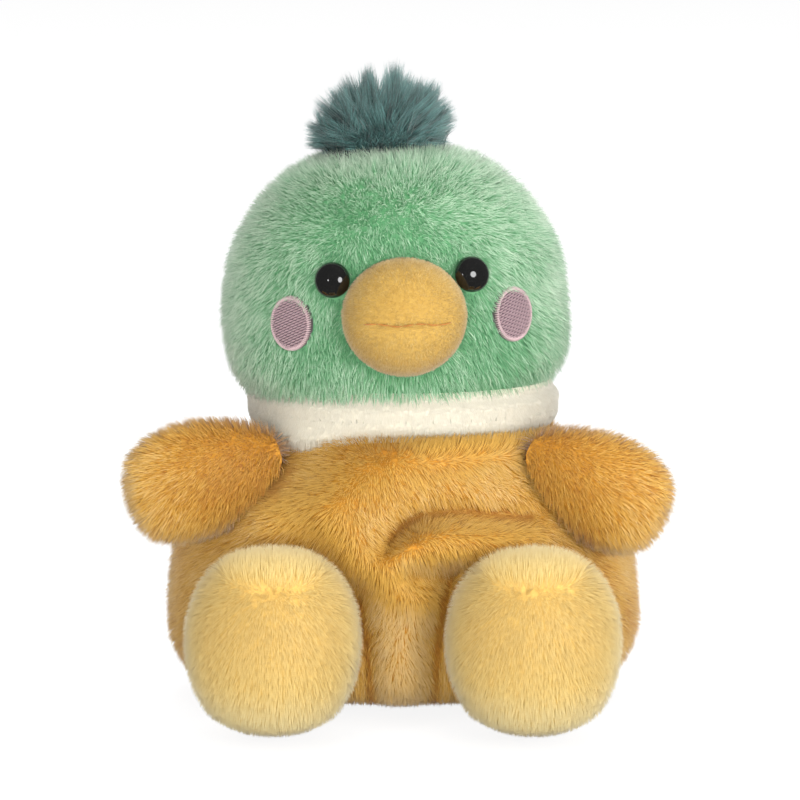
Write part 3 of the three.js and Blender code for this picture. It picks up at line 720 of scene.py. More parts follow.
class Skin:
    """A closed skin: points, triangles, outward normals and, for each point, whether a neighbour presses
    on it."""

    def __init__(self, points, triangles, pressed):
        self.points = points
        self.triangles = triangles
        self.mesh = (points, triangles)
        self.pressed = pressed.astype(float)
        corners = points[triangles]
        across = np.cross(corners[:, 1] - corners[:, 0], corners[:, 2] - corners[:, 0])
        self.areas = np.linalg.norm(across, axis=1) / 2
        normals = np.zeros_like(points)
        for corner in triangles.T:
            np.add.at(normals, corner, across)
        self.normals = unit(normals)


def sew(grid, pressed=None, ring=False):
    """A closed skin from rows of points that each close round, with a fan to the middle of the first and the
    last row, or with ring a seam between those two rows."""
    if pressed is None:
        pressed = np.zeros(grid.shape[:2], bool)
    around = grid.shape[1]
    if ring:
        index = np.arange(grid.shape[0] * around).reshape(-1, around)
        faces = tube_faces(np.concatenate((index, index[:1])))
        return Skin(grid.reshape(-1, 3), faces, pressed.ravel())
    gathered = [np.ptp(row, axis=0).max() < POINT_SIZE for row in (grid[0], grid[-1])]
    rows = slice(int(gathered[0]), len(grid) - int(gathered[1]))
    ends = np.stack((grid[0].mean(axis=0), grid[-1].mean(axis=0)))
    points = np.concatenate((grid[rows].reshape(-1, 3), ends))
    marks = np.concatenate((pressed[rows].ravel(), (pressed[0].any(), pressed[-1].any())))
    index = np.arange(len(points) - 2).reshape(-1, around)
    return Skin(points, tube_faces(index, len(points) - 2, len(points) - 1), marks)


def skin_of(form, swell, grid, joint=None, margin=0):
    """The closed skin of a form, swollen or shrunk by swell and, where it has a joint, kept clear of the
    body over its travel."""
    rows, pressed = form.out(form.rows(swell, grid)), None
    if joint:
        rows, pressed = clear_of_body(rows, joint, margin)
    return sew(rows, pressed)


def mesh_object(name, material, points, triangles, uv=None, shading=None):
    """A mesh piece at the origin, smooth shaded, with its one material and, where given, its pile map and
    its shading normals."""
    mesh = bpy.data.meshes.new(name)
    mesh.vertices.add(len(points))
    mesh.vertices.foreach_set("co", np.ascontiguousarray(points, np.float32).ravel())
    mesh.loops.add(triangles.size)
    mesh.loops.foreach_set("vertex_index", np.ascontiguousarray(triangles, np.int32).ravel())
    mesh.polygons.add(len(triangles))
    mesh.polygons.foreach_set("loop_start", np.arange(0, triangles.size, 3, dtype=np.int32))
    mesh.update(calc_edges=True)
    mesh.shade_smooth()
    if uv is not None:
        layer = mesh.uv_layers.new(name=PILE_UV)
        layer.data.foreach_set("uv", np.ascontiguousarray(uv[triangles.ravel()], np.float32).ravel())
    if shading is not None:
        mesh.normals_split_custom_set_from_vertices(shading.tolist())
    mesh.materials.append(material)
    piece = bpy.data.objects.new(name, mesh)
    bpy.context.scene.collection.objects.link(piece)
    return piece


def add_piece(name, mesh, material, slot, body, blend=None, padding=None, stands_for=()):
    """Makes a piece that rides the body of its name or, where blend is given, has its place baked into its
    mesh, and hides the nodes that it stands for. Its slot and padding are not used."""
    piece = mesh_object(name, material, *mesh)
    if blend:
        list(blend)
        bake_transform(piece)
    else:
        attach(piece, body)
    if stands_for:
        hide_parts(*stands_for)


# Pile


def scatter(skin, density, share, rng):
    """Roots spread evenly over a skin, density to the square millimetre where share is one and hardly any
    where a neighbour presses: triangles are picked by area times share, and a point in each by two random
    numbers folded into the triangle. Returns the roots, the skin's normals there and how far each is
    pressed."""
    middles = skin.points[skin.triangles].mean(axis=1)
    pressed = skin.pressed[skin.triangles].mean(axis=1)
    weight = skin.areas * share(middles) * (1 - PRESSED_THIN * pressed)
    count = int(weight.sum() / SQUARE_MM * density)
    picked = skin.triangles[rng.choice(len(weight), count, p=weight / weight.sum())]
    a, b = rng.random((2, count))
    folded = a + b > 1
    a, b = np.where(folded, 1 - a, a), np.where(folded, 1 - b, b)
    corners = np.stack((1 - a - b, a, b), axis=1)[..., None]
    roots = (skin.points[picked] * corners).sum(axis=1)
    normals = unit((skin.normals[picked] * corners).sum(axis=1))
    return roots, normals, (skin.pressed[picked] * corners[..., 0]).sum(axis=1)


def strand_mesh(paths, normals, width, tone, rng, own=STRAND_SHARE):
    """Closed three-sided strands along paths of points: a triangle round each point but the last, each
    narrower than the one before, and a peak at the tip. The map runs from root to tip in a strip at the
    strand's tone. Shading normals lie between the skin's normal and the strand's own, of which they take
    the share given, so that the pile takes the light as one soft surface with a grain."""
    count, steps = paths.shape[0], paths.shape[1] - 1
    ahead = unit(paths[:, 1] - paths[:, 0])
    aside = unit(np.cross(ahead, rng.normal(size=(count, 3))))
    above = np.cross(ahead, aside)
    turn = circle(3)
    spoke = aside[:, None] * np.cos(turn)[:, None] + above[:, None] * np.sin(turn)[:, None]
    radius = width[:, None] / math.sqrt(3) * (1 - STRAND_TAPER * np.arange(steps) / steps)
    rings = paths[:, :-1, None] + spoke[:, None] * radius[..., None, None]
    points = np.concatenate((rings.reshape(count, -1, 3), paths[:, -1:]), axis=1)
    own = np.broadcast_to(own, count)[:, None]
    shading = normals[:, None, None] + own[..., None, None] * np.broadcast_to(spoke[:, None], rings.shape)
    tips = normals + own * ahead
    shading = unit(np.concatenate((shading.reshape(count, -1, 3), tips[:, None]), axis=1))

    faces = tube_faces(np.arange(3 * steps).reshape(steps, 3), high=3 * steps)
    triangles = repeated(np.concatenate(([(2, 1, 0)], faces)), count, 3 * steps + 1)

    along = MAP_SPAN * np.repeat(np.arange(steps) / steps, 3) + np.tile(MAP_STAGGER, steps)
    along = np.append(along, MAP_TIP)
    beside = np.append(np.tile((-TONE_STRIP, TONE_STRIP, 0), steps), 0)
    uv = np.stack(np.broadcast_arrays(tone[:, None] + beside, along), axis=-1)
    return points.reshape(-1, 3), triangles, uv.reshape(-1, 2), shading.reshape(-1, 3)


def everywhere(points):
    """A share of one at every point."""
    return np.ones(len(points))


def nowhere(points):
    """A share of nought at every point."""
    return np.zeros(len(points))


def mostly_front(points, middle=0.0):
    """A share of one in front of a plane and six tenths well behind it."""
    return 1 - 0.4 * ease(points[:, 1], middle, middle + 8 * MM)


def seat_trim(roots):
    """Shorter pile where the toy's weight presses on it."""
    return 0.5 + 0.5 * ease(roots[:, 2], 3 * MM, 8 * MM)


def one_panel(roots):
    """No panels: all of a coat in one piece."""
    return np.full(len(roots), "")


def four_panels(roots, front, left, right, back_from):
    """Names of the cloth panels that roots lie in, of which the back one begins at the degrees given."""
    turn = np.degrees(np.arctan2(roots[:, 0], -roots[:, 1]))
    names = np.where(turn > 0, left, right)
    names = np.where(np.abs(turn) > back_from, "back", names)
    return np.where(np.abs(turn) <= FRONT_PANEL, front, names)


class Coat:
    """How a skin's pile grows. Unless changed it has the user's length, width, lean and densities, covers the
    whole skin untrimmed, is nowhere smoothed or off the even tone, and rests on no floor."""

    def __init__(self, sizes, seed, comb, **changes):
        self.seed, self.comb = seed, comb
        self.length, self.width, self.lean = sizes.pile_length, sizes.pile_width, sizes.lean
        self.undercoat, self.topcoat = sizes.undercoat, sizes.topcoat
        self.share = self.trim = everywhere
        self.tone = self.smooth = nowhere
        self.mottle, self.floor = 1, -math.inf
        for key, value in changes.items():
            setattr(self, key, value)


def tone_at(roots, coat, rng):
    """Tone of each strand from 0, deep, to 1, pale: drifts, a random grain with some strands painted pale as
    glints, a painted highlight, and some painted dark as shade between strands, all three weaker where the
    coat is smooth, and the coat's own."""
    (glints, glint), (darks, dark) = TONE_GLINTS, TONE_DARKS
    pick = rng.random(len(roots))
    uneven = TONE_GRAIN * rng.normal(size=len(roots)) + glint * (pick < glints) - dark * (pick > 1 - darks)
    uneven += drifts(roots, TONE_DRIFTS, coat.seed, 1)[:, 0]
    even = 1 - SMOOTH_TONE * coat.smooth(roots)
    return np.clip(EVEN_TONE + coat.mottle * uneven * even + coat.tone(roots), *TONE_LIMITS)


def coat_paths(roots, normals, pressed, coat, bends, reach, rng):
    """Paths of strands, one step for each bend: direction = normal + bend times (lean times the comb along
    the skin + drift in clumps + a random part). Where the coat is smooth the strands lie flatter and stray
    less."""
    comb = coat.comb(roots, normals)
    comb = comb - normals * (comb * normals).sum(axis=1, keepdims=True)
    wander = drifts(roots, STRAND_WANDER, coat.seed) + STRAND_STRAY * rng.normal(size=roots.shape)
    smooth = coat.smooth(roots)[:, None]
    aside = coat.lean * comb * (1 + smooth) + wander * (1 - SMOOTH_WANDER * smooth)
    length = coat.length * coat.trim(roots) * rng.uniform(*STRAND_LENGTHS, len(roots))
    step = (length * (1 - PRESSED_SHORT * pressed) / len(bends))[:, None]
    paths = [roots - STRAND_SUNK * normals]
    for bend in bends:
        paths.append(paths[-1] + unit(normals + bend * aside) * step)
    lowest = (-math.inf, -math.inf, coat.floor)
    paths = np.maximum(np.stack(paths, axis=1), lowest)
    return np.maximum(paths[:, :1] + (paths - paths[:, :1]) * reach, lowest)


def grow_pile(name, skin, coat, slot, body, colours, panels=one_panel, blend=None):
    """Grows a coat on a skin: straight strands for the undercoat and longer curved ones over it. Panels
    gives each root the name of its panel, and each panel is a piece of its own."""
    rng = np.random.default_rng(coat.seed)
    layers = []
    for layer, bends, reach in STRAND_LAYERS:
        density = getattr(coat, layer)
        if density > 0:
            roots, normals, pressed = scatter(skin, density, coat.share, rng)
            paths = coat_paths(roots, normals, pressed, coat, bends, reach, rng)
            width = coat.width * rng.uniform(*STRAND_WIDTHS, len(roots))
            own = STRAND_SHARE * (1 - SMOOTH_ROUND * coat.smooth(roots))
            layers.append((panels(roots), paths, normals, width, tone_at(roots, coat, rng), own))
    for panel in sorted(set(np.concatenate([names for names, *_ in layers]))):
        meshes = []
        for names, *strands in layers:
            paths, normals, width, tone, own = (values[names == panel] for values in strands)
            meshes.append(strand_mesh(paths, normals, width, tone, rng, own))
        piece_name = f"{name}_{panel}" if panel else name
        add_piece(piece_name, joined(meshes), plush_of(slot, colours), slot, body, blend)


# Materials


def add_node(tree, kind, inputs=None, stops=(), **options):
    """Adds a node to a tree. Inputs gives each socket a value or the output that feeds it, stops gives a
    ramp its places and colours, and options are the node's own settings."""
    node = tree.nodes.new(kind)
    for key, value in options.items():
        setattr(node, key, value)
    for socket, value in (inputs or {}).items():
        if isinstance(value, bpy.types.NodeSocket):
            tree.links.new(value, node.inputs[socket])
        else:
            node.inputs[socket].default_value = value
    for number, (place, shade) in enumerate(stops):
        elements = node.color_ramp.elements
        element = elements[number] if number < len(elements) else elements.new(place)
        element.position = place
        element.color = (*shade, 1)
    return node


def new_material(name):
    """An empty material and its tree, or None for the tree where the material exists already."""
    material = bpy.data.materials.get(name)
    if material:
        return material, None
    material = bpy.data.materials.new(name)
    material.use_nodes = True
    material.node_tree.nodes.clear()
    return material, material.node_tree


def finish_material(tree, base, **shader):
    """Ends a tree in a Principled shader with a base colour, a value or an output, and constant settings
    such as sheen_weight."""
    inputs = {key.replace("_", " ").title().replace("Ior", "IOR"): value for key, value in shader.items()}
    inputs["Base Color"] = base
    surface = add_node(tree, "ShaderNodeBsdfPrincipled", inputs)
    add_node(tree, "ShaderNodeOutputMaterial", {"Surface": surface.outputs["BSDF"]})


def shades_of(slot, colours):
    """The root, middle and tip colours of a slot's plush."""
    key = PLUSHES[slot][2]
    return [np.array(getattr(colours, key + end)) for end in ("_root", "", "_tip")]


def plush_of(slot, colours):
    """The plush of a slot, of knitted polyester: extruded, crimped fibres dyed in the mass, duller at the
    root where they shade each other and pale at the cut tips. Semi-matt, with a soft glint along each
    strand.

    Each strand's tone mixes three ramps from root to tip: deep pile, even pile with a tinge of the tip's
    shade, and pale pile that pales from a share of its length up. Gloom dims all three at the root."""
    name, _, _, gloom, tinge, pale_from = PLUSHES[slot]
    material, tree = new_material(name)
    if tree is None:
        return material
    root, middle, tip = shades_of(slot, colours)
    dim = (1 - gloom) * root
    halfway = blend_between(middle, tip, 0.5)
    place = add_node(tree, "ShaderNodeUVMap", uv_map=PILE_UV)
    axes = add_node(tree, "ShaderNodeSeparateXYZ", {"Vector": place.outputs["UV"]}).outputs
    deep, even, pale = (
        add_node(tree, "ShaderNodeValToRGB", {"Fac": axes["Y"]}, stops).outputs["Color"]
        for stops in (
            ((0, dim), (0.6, root), (1, blend_between(root, middle, 0.3))),
            ((0, dim), (0.35, blend_between(root, middle, 0.6)), (1, blend_between(middle, tip, tinge))),
            ((0, blend_between(dim, middle, 0.5)), (pale_from, halfway), (1, tip)),
        )
    )
    shade = deep
    for low, high, next_shade in ((0, EVEN_TONE, even), (EVEN_TONE, 1, pale)):
        span = {"Value": axes["X"], "From Min": low, "From Max": high}
        share = add_node(tree, "ShaderNodeMapRange", span).outputs[0]
        mix = {"Factor": share, MIX_A: shade, MIX_B: next_shade}
        shade = add_node(tree, "ShaderNodeMix", mix, data_type="RGBA").outputs[MIX_RESULT]
    finish_material(tree, shade, roughness=0.6, ior=1.5, sheen_weight=0.25, sheen_roughness=0.5)
    return material


def mottled_material(name, light, dark, cell, **shader):
    """A fabric or plastic of two near shades: noise with cells of a real size mixes them."""
    material, tree = new_material(name)
    if tree is None:
        return material
    place = add_node(tree, "ShaderNodeTexCoord").outputs["Object"]
    noise = add_node(tree, "ShaderNodeTexNoise", {"Vector": place, "Scale": 1 / cell, "Detail": 3.0})
    mix = {"Factor": noise.outputs["Fac"], MIX_A: (*light, 1), MIX_B: (*dark, 1)}
    shade = add_node(tree, "ShaderNodeMix", mix, data_type="RGBA").outputs[MIX_RESULT]
    finish_material(tree, shade, **shader)
    return material


def backing_of(slot, colours):
    """The knitted backing under a plush: the shade of the pile's lower third, in 1.5 mm clumps. Matt."""
    root, middle, _ = shades_of(slot, colours)
    return mottled_material(PLUSHES[slot][1], root, blend_between(root, middle, 0.6), 1.5 * MM, roughness=0.9)


def filling_material():
    """Polyester fibrefill: carded crimped fibre, bright white and matt."""
    light, dark = linear("f7f6f2"), linear("dedcd4")
    return mottled_material("Polyester fibrefill", light, dark, 1.2 * MM, roughness=0.95)


def pellet_cloth_material():
    """Woven polypropylene bag cloth round the plastic pellets: off-white with a faint slubby weave."""
    return mottled_material("Pellet bag cloth", linear("e2ddcf"), linear("cfc9b8"), 0.6 * MM, roughness=0.85)


def black_plastic_material(colours):
    """Injection-moulded polystyrene eye: black all through, polished mould, hard clear highlights."""
    return mottled_material("Black polystyrene", colours.black, linear("161615"), 2 * MM, roughness=0.08,
                            ior=1.46, specular_ior_level=0.9)


def white_plastic_material():
    """Moulded polyethylene lock washer: milky white, waxy."""
    return mottled_material("White polyethylene", linear("efede6"), linear("e4e1d8"), 2 * MM, roughness=0.42)


def thread_material(name, shade):
    """Trilobal embroidery thread: bright twisted polyester, with a satin gleam along the stitches and small
    changes of shade from stitch to stitch."""
    shade = np.array(shade)
    return mottled_material(name, shade * 1.12, shade * 0.86, 0.7 * MM, roughness=0.42,
                            sheen_weight=0.2, sheen_roughness=0.4)


# Covers


def add_filling(name, skin, body, slot="polyester_fill", **settled):
    """Makes a filling, or the cloth of a bag of pellets, of a skin."""
    cloth = pellet_cloth_material() if slot == "pellet_cloth" else filling_material()
    add_piece(name, skin.mesh, cloth, slot, body, **settled)


def make_cover(context, name, form, slot, coat, padding, stands_for, filling="polyester_fill", grid=SKIN_GRID,
               joint=None, margin=LIMB_MARGIN, panels=one_panel):
    """Skin, pile and, where it has one, filling of a stuffed piece that rides the body of its name."""
    sizes, colours = context.scene.plush_sizes, context.scene.plush_colours
    skin = skin_of(form, -sizes.skin_depth, grid, joint, margin)
    add_piece(f"{name}_skin", skin.mesh, backing_of(slot, colours), slot, name, None, padding, stands_for[:1])
    if filling:
        swell = -sizes.skin_depth - FILLING_GAP
        inner = skin_of(form, swell, FILLING_GRID, joint, margin + FILLING_GAP)
        add_filling(f"{name}_filling", inner, name, filling, padding=padding, stands_for=stands_for[1:])
    grow_pile(f"{name}_pile", skin, coat, slot, name, colours, panels)


class PLUSH_OT_body(bpy.types.Operator):
    """Makes the body: folded skin, fibrefill, pellet bag and tan pile"""

    bl_idname = "plush.body"
    bl_label = "Body"

    def execute(self, context):
        sizes = context.scene.plush_sizes

        def share(middles):
            """No pile in the neck opening or under the sagging collar, and less under the seat."""
            top = BODY_HEIGHT - 0.4 * MM - SAG_DROP * ease(collar_sag(middles), 0.3, 0.9)
            seat = 0.4 + 0.6 * ease(middles[:, 2], 2 * MM, 5 * MM)
            return np.where(middles[:, 2] > top, 0.0, seat * mostly_front(middles))

        def panels(roots):
            """Front, back and the two sides, parted where the cloth panels meet."""
            return four_panels(roots, "front", "left", "right", 132)

        def front(roots, lines):
            """The lines painted on the front."""
            return painted(roots[:, 0], roots[:, 2], lines) * (roots[:, 1] < 0)

        def tone(roots):
            """Pale as painted sheen on the lips of the folds and as painted light at the bottom, deep as
            painted shade in the creases, with sharp edges.
            """
            pale, deep = front(roots, PAINTED_LIGHT_SHARES), front(roots, PAINTED_SHADE_SHARES)
            # painted light: the pale marks are far stronger below half the height, where the feet shade the
            # body
            fully = 0.16 + 0.42 * (roots[:, 2] < 0.5 * BODY_HEIGHT)
            return fully * ease(pale, 0.1, 0.8) - 0.42 * ease(deep, 0.05, 0.6)

        def smooth(roots):
            """Smooth along the rolls and fairly smooth elsewhere."""
            return np.minimum(1, 0.3 + 0.8 * front(roots, SMOOTH_SHARES))

        def comb(roots, _normals):
            """Down, in front outwards on both flanks, and up over the top roll on the left side."""
            x, tall = roots[:, 0], roots[:, 2] / BODY_HEIGHT
            aside = (1.1 * ease(x, -26 * MM, 4 * MM) - 0.7) * (roots[:, 1] < 0) * ease(tall, 0.35, 0.7)
            over = ease(tall, 0.9, 0.97) * ease(x, -2 * MM, 5 * MM)
            return np.stack((aside, 0 * aside, 2.6 * over - 1), axis=1)

        def trim(roots):
            """Shorter at the neck seam and under the seat."""
            return seat_trim(roots) * (1 - 0.15 * ease(roots[:, 2], 0.92 * BODY_HEIGHT, BODY_HEIGHT))

        coat = Coat(sizes, 11, comb, share=share, trim=trim, tone=tone, smooth=smooth, floor=REST_LEVEL)
        make_cover(context, "body", BODY, "tan_plush", coat, 0.6, ("body_cover",), filling=None,
                   panels=panels)

        swell = -sizes.skin_depth - FOLD_RISE
        bag = BODY.rows(swell, SKIN_GRID)
        bag[bag[..., 2] > PELLET_TOP] *= (0.9, 0.9, 1)
        bag[..., 2] = np.minimum(bag[..., 2], PELLET_TOP)
        add_filling("pellet_bag", sew(bag), "body", "pellet_cloth", padding=0.5,
                    stands_for=("body_pellet_bag",))
        start = BODY.share_at(PELLET_TOP + PELLET_GAP)
        add_filling("body_filling", sew(BODY.rows(swell, SKIN_GRID, start)), "body", padding=0.6,
                    stands_for=("body_stuffing",))
        return {"FINISHED"}


class PLUSH_OT_collar(bpy.types.Operator):
    """Makes the collar as two bands, its shorn pile and the neck's filling"""

    bl_idname = "plush.collar"
    bl_label = "Collar"

    def execute(self, context):
        sizes, colours = context.scene.plush_sizes, context.scene.plush_colours

        def share(middles):
            """Pile on the outer face between the two seams."""
            x, y, z = middles.T
            bottom = COLLAR_LOW - 0.8 * MM - SAG_DROP * collar_sag(middles)
            shown = (z > bottom) & (z < COLLAR_HIGH + 2.7 * MM)
            level = collar_bulge(z) - 1.15 * COLLAR_DEEP
            return shown * (np.hypot(x / (NECK_WIDTH / 2 + level), y / (NECK_DEPTH / 2 + level)) > 1)

        def trim(roots):
            """Longer where the lower edge sags in front."""
            return 1 + collar_sag(roots) * (1 - ease(roots[:, 2], COLLAR_LOW - SAG_DROP, COLLAR_LOW + 1 * MM))

        def downward(_roots, normals):
            """Combed straight down."""
            return np.broadcast_to(DOWN, normals.shape)

        bands = (
            ("lower", COLLAR_LOW - COLLAR_TUCK, COLLAR_MIDDLE, ("collar", "neck"), ("collar",)),
            ("upper", COLLAR_MIDDLE, COLLAR_HIGH + COLLAR_TUCK, ("neck", "head"), ()),
        )
        for number, (name, low, high, bodies, stands_for) in enumerate(bands):
            face = np.linspace(low + COLLAR_EDGE, high - COLLAR_EDGE, 15)
            outer = collar_rows(np.concatenate(((low,), face, (high,))), -COLLAR_DEEP)
            inner = collar_rows(np.linspace(high, low, 5), -2 * COLLAR_DEEP)
            skin = sew(np.concatenate((outer, inner)), ring=True)
            blend = (*bodies, (0, 0, low), (0, 0, high))
            add_piece(f"collar_{name}_band", skin.mesh, backing_of("cream_plush", colours), "cream_plush",
                      None, blend, 0.6, stands_for)
            coat = Coat(sizes, 31 + number, downward, share=share, trim=trim, length=sizes.collar_length,
                        width=0.14 * MM, lean=1.2, undercoat=20, topcoat=0, mottle=0.4, smooth=everywhere)
            grow_pile(f"collar_{name}_pile", skin, coat, "cream_plush", None, colours, blend=blend)

        rise = np.linspace(-math.pi / 2, math.pi / 2, 15)
        reach = np.cos(rise) * (0.4 * NECK_WIDTH - 3 * COLLAR_DEEP)  # with room to nod
        heights = COLLAR_MIDDLE + np.sin(rise) * (COLLAR_HIGH - COLLAR_LOW) * 0.3
        wad = sew(ovals(reach, reach * NECK_DEPTH / NECK_WIDTH, heights, 40))
        add_filling("neck_filling", wad, "neck", padding=0.7, stands_for=("neck_stuffing",))
        return {"FINISHED"}


# Head


def dent_face(points, facing, swell):
    """Draws the head's skin in at the beak's seam and makes room for the washers behind the eyes: each dent
    is its depth times exp(-(distance / spread) squared), towards the middle of the head."""
    x, z = points[..., 0], points[..., 2]
    eye_depth = WASHER_ROOM if -swell > WASHER_LEVEL else EYE_DENT
    dent = np.zeros(x.shape)
    for _, sign in SIDES:
        away = np.hypot(x - sign * EYE_SPACING / 2, z - EYE_RISE)
        dent += eye_depth * np.exp(-(away / DENT_SPREAD) ** 2)
    seam = np.hypot(x / (BEAK_WIDTH / 2), (z - BEAK_RISE) / (BEAK_HEIGHT / 2))
    dent += SEAM_DENT * np.exp(-((seam - 1) / SEAM_SPREAD) ** 2)
    shaped = points.copy()
    shaped[..., 1] += dent * (facing > 0.3)
    return shaped


HEAD = head_form()


class Oval:
    """A spot on the face, out from it, with its sizes across and up."""

    def __init__(self, x, z, width, height):
        self.centre, self.out = HEAD.place(x, z)
        self.across = unit(np.cross((0, 0, 1), self.out))
        self.up = np.cross(self.out, self.across)
        self.half = np.array((width / 2, height / 2))
        self.frame = np.stack((self.across, self.up, self.out), axis=1)

    def flat(self, points):
        """Places across and up from the middle."""
        return (points - self.centre) @ self.frame[:, :2]

    def reach(self, points):
        """How many times its half size a point lies from the middle, or nine for one that isn't near."""
        flat = self.flat(points)
        near = ((points - self.centre) @ self.out > -8 * MM) & (np.abs(flat) < 3 * self.half).all(axis=1)
        return np.where(near, np.linalg.norm(flat / self.half, axis=1), 9)

    def gap(self, points):
        """How far outside the edge a point lies."""
        return (self.reach(points) - 1) * self.half.mean()

    def away(self, points):
        """The direction away from the middle."""
        return unit(self.flat(points) @ self.frame[:, :2].T)

    def ring(self, turn, share):
        """Places across and up at turns round the middle and a share of the way to the edge."""
        return np.stack((np.cos(turn) * share, np.sin(turn) * share), axis=-1) * self.half

    def on_face(self, flat, height):
        """Points at places across and up, on the head's own curve there and raised by height: the curve
        falls away by the square of the place over twice the face's radius."""
        fall = (flat ** 2 / (2 * np.array(CHEEK_CURVES))).sum(axis=-1)
        return np.concatenate((flat, (height - fall)[..., None]), axis=-1) @ self.frame.T + self.centre


EYES = [Oval(sign * EYE_SPACING / 2, EYE_RISE, 2 * EYE_RADIUS, 2 * EYE_RADIUS) for _, sign in SIDES]
CHEEKS = [Oval(sign * CHEEK_SPACING / 2, CHEEK_RISE, CHEEK_WIDTH, CHEEK_HEIGHT) for _, sign in SIDES]
BEAK = Oval(0, BEAK_RISE, BEAK_WIDTH, BEAK_HEIGHT)


class PLUSH_OT_head(bpy.types.Operator):
    """Makes the head: dented skin, fibrefill and green pile that clears the eyes, cheeks and beak"""

    bl_idname = "plush.head"
    bl_label = "Head"

    def execute(self, context):
        sizes = context.scene.plush_sizes
        bare = (*EYES, *CHEEKS, BEAK)

        def share(middles):
            """No pile in the neck opening or under what is sewn on."""
            reach = np.hypot((middles[:, 0] - HEAD_SHIFT) / NECK_WIDTH, middles[:, 1] / NECK_DEPTH)
            kept = ((middles[:, 2] > HEAD_BASE + 1.5 * MM) | (reach > 0.5)) * mostly_front(middles)
            for oval in bare:
                kept *= oval.reach(middles) > 0.94
            return kept

        def trim(roots):
            """Pile shortened at the neck seam and next to what is sewn on."""
            length = 0.9 + 0.1 * ease(roots[:, 2], HEAD_BASE, HEAD_BASE + 6 * MM)
            for oval in bare:
                length *= 0.8 + 0.2 * ease(oval.gap(roots), 0, 2.5 * MM)
            return length

        def comb(roots, _normals):
            """Down, towards +X on the head's right side, and away from what is sewn on."""
            aside = 0.55 * ease(-roots[:, 0], 0, 0.4 * HEAD_WIDTH) * (roots[:, 1] < 0)
            way = np.stack((aside, 0 * aside, -np.ones(len(roots))), axis=1)
            for oval in bare:
                push = (0.4 if oval in CHEEKS else 0.6) * np.exp(-np.maximum(oval.gap(roots), 0) / (1.2 * MM))
                way += push[:, None] * oval.away(roots)
            return way

        def panels(roots):
            """Face, back and the two sides."""
            return four_panels(roots, "face", "side_left", "side_right", 110)

        def tone(roots):
            """Paler on the crown, a painted top light, and on the flanks; deeper on the forehead; painted
            shade round the eyes and beside the beak; on the +X side painted light above and painted shade low
            down.
            """
            x, z = roots[:, 0] / HEAD_WIDTH, (roots[:, 2] - HEAD_BASE) / HEAD_HEIGHT
            # painted top light on the crown
            crown = 0.4 * ease(z, 0.62, 0.95)
            flank = 0.3 * ease(np.abs(x), 0.25, 0.48) + 0.2 * ease(-x, 0.3, 0.48)
            brow = np.hypot(x * HEAD_WIDTH / (9 * MM), (z - 0.68) * HEAD_HEIGHT / (6 * MM))
            low = 1 - ease(z, 0.25, 0.5)
            # painted light high and painted shade low on the +X side
            painted_side_light_and_shade = (0.08 - 0.4 * low) * ease(x, 0, 0.4)
            # painted shade in the fur round the eyes and the beak
            shade = sum(np.exp(-np.maximum(oval.gap(roots), 0) / (1.3 * MM)) for oval in (*EYES, BEAK))
            return crown + flank + painted_side_light_and_shade - 0.12 * np.exp(-brow ** 2) - 0.35 * shade

        coat = Coat(sizes, 41, comb, share=share, trim=trim, length=1.08 * sizes.pile_length, lean=0.95,
                    tone=tone, mottle=1.25)
        make_cover(context, "head", HEAD, "green_plush", coat, 0.85, ("head_cover", "head_stuffing"),
                   panels=panels)
        return {"FINISHED"}


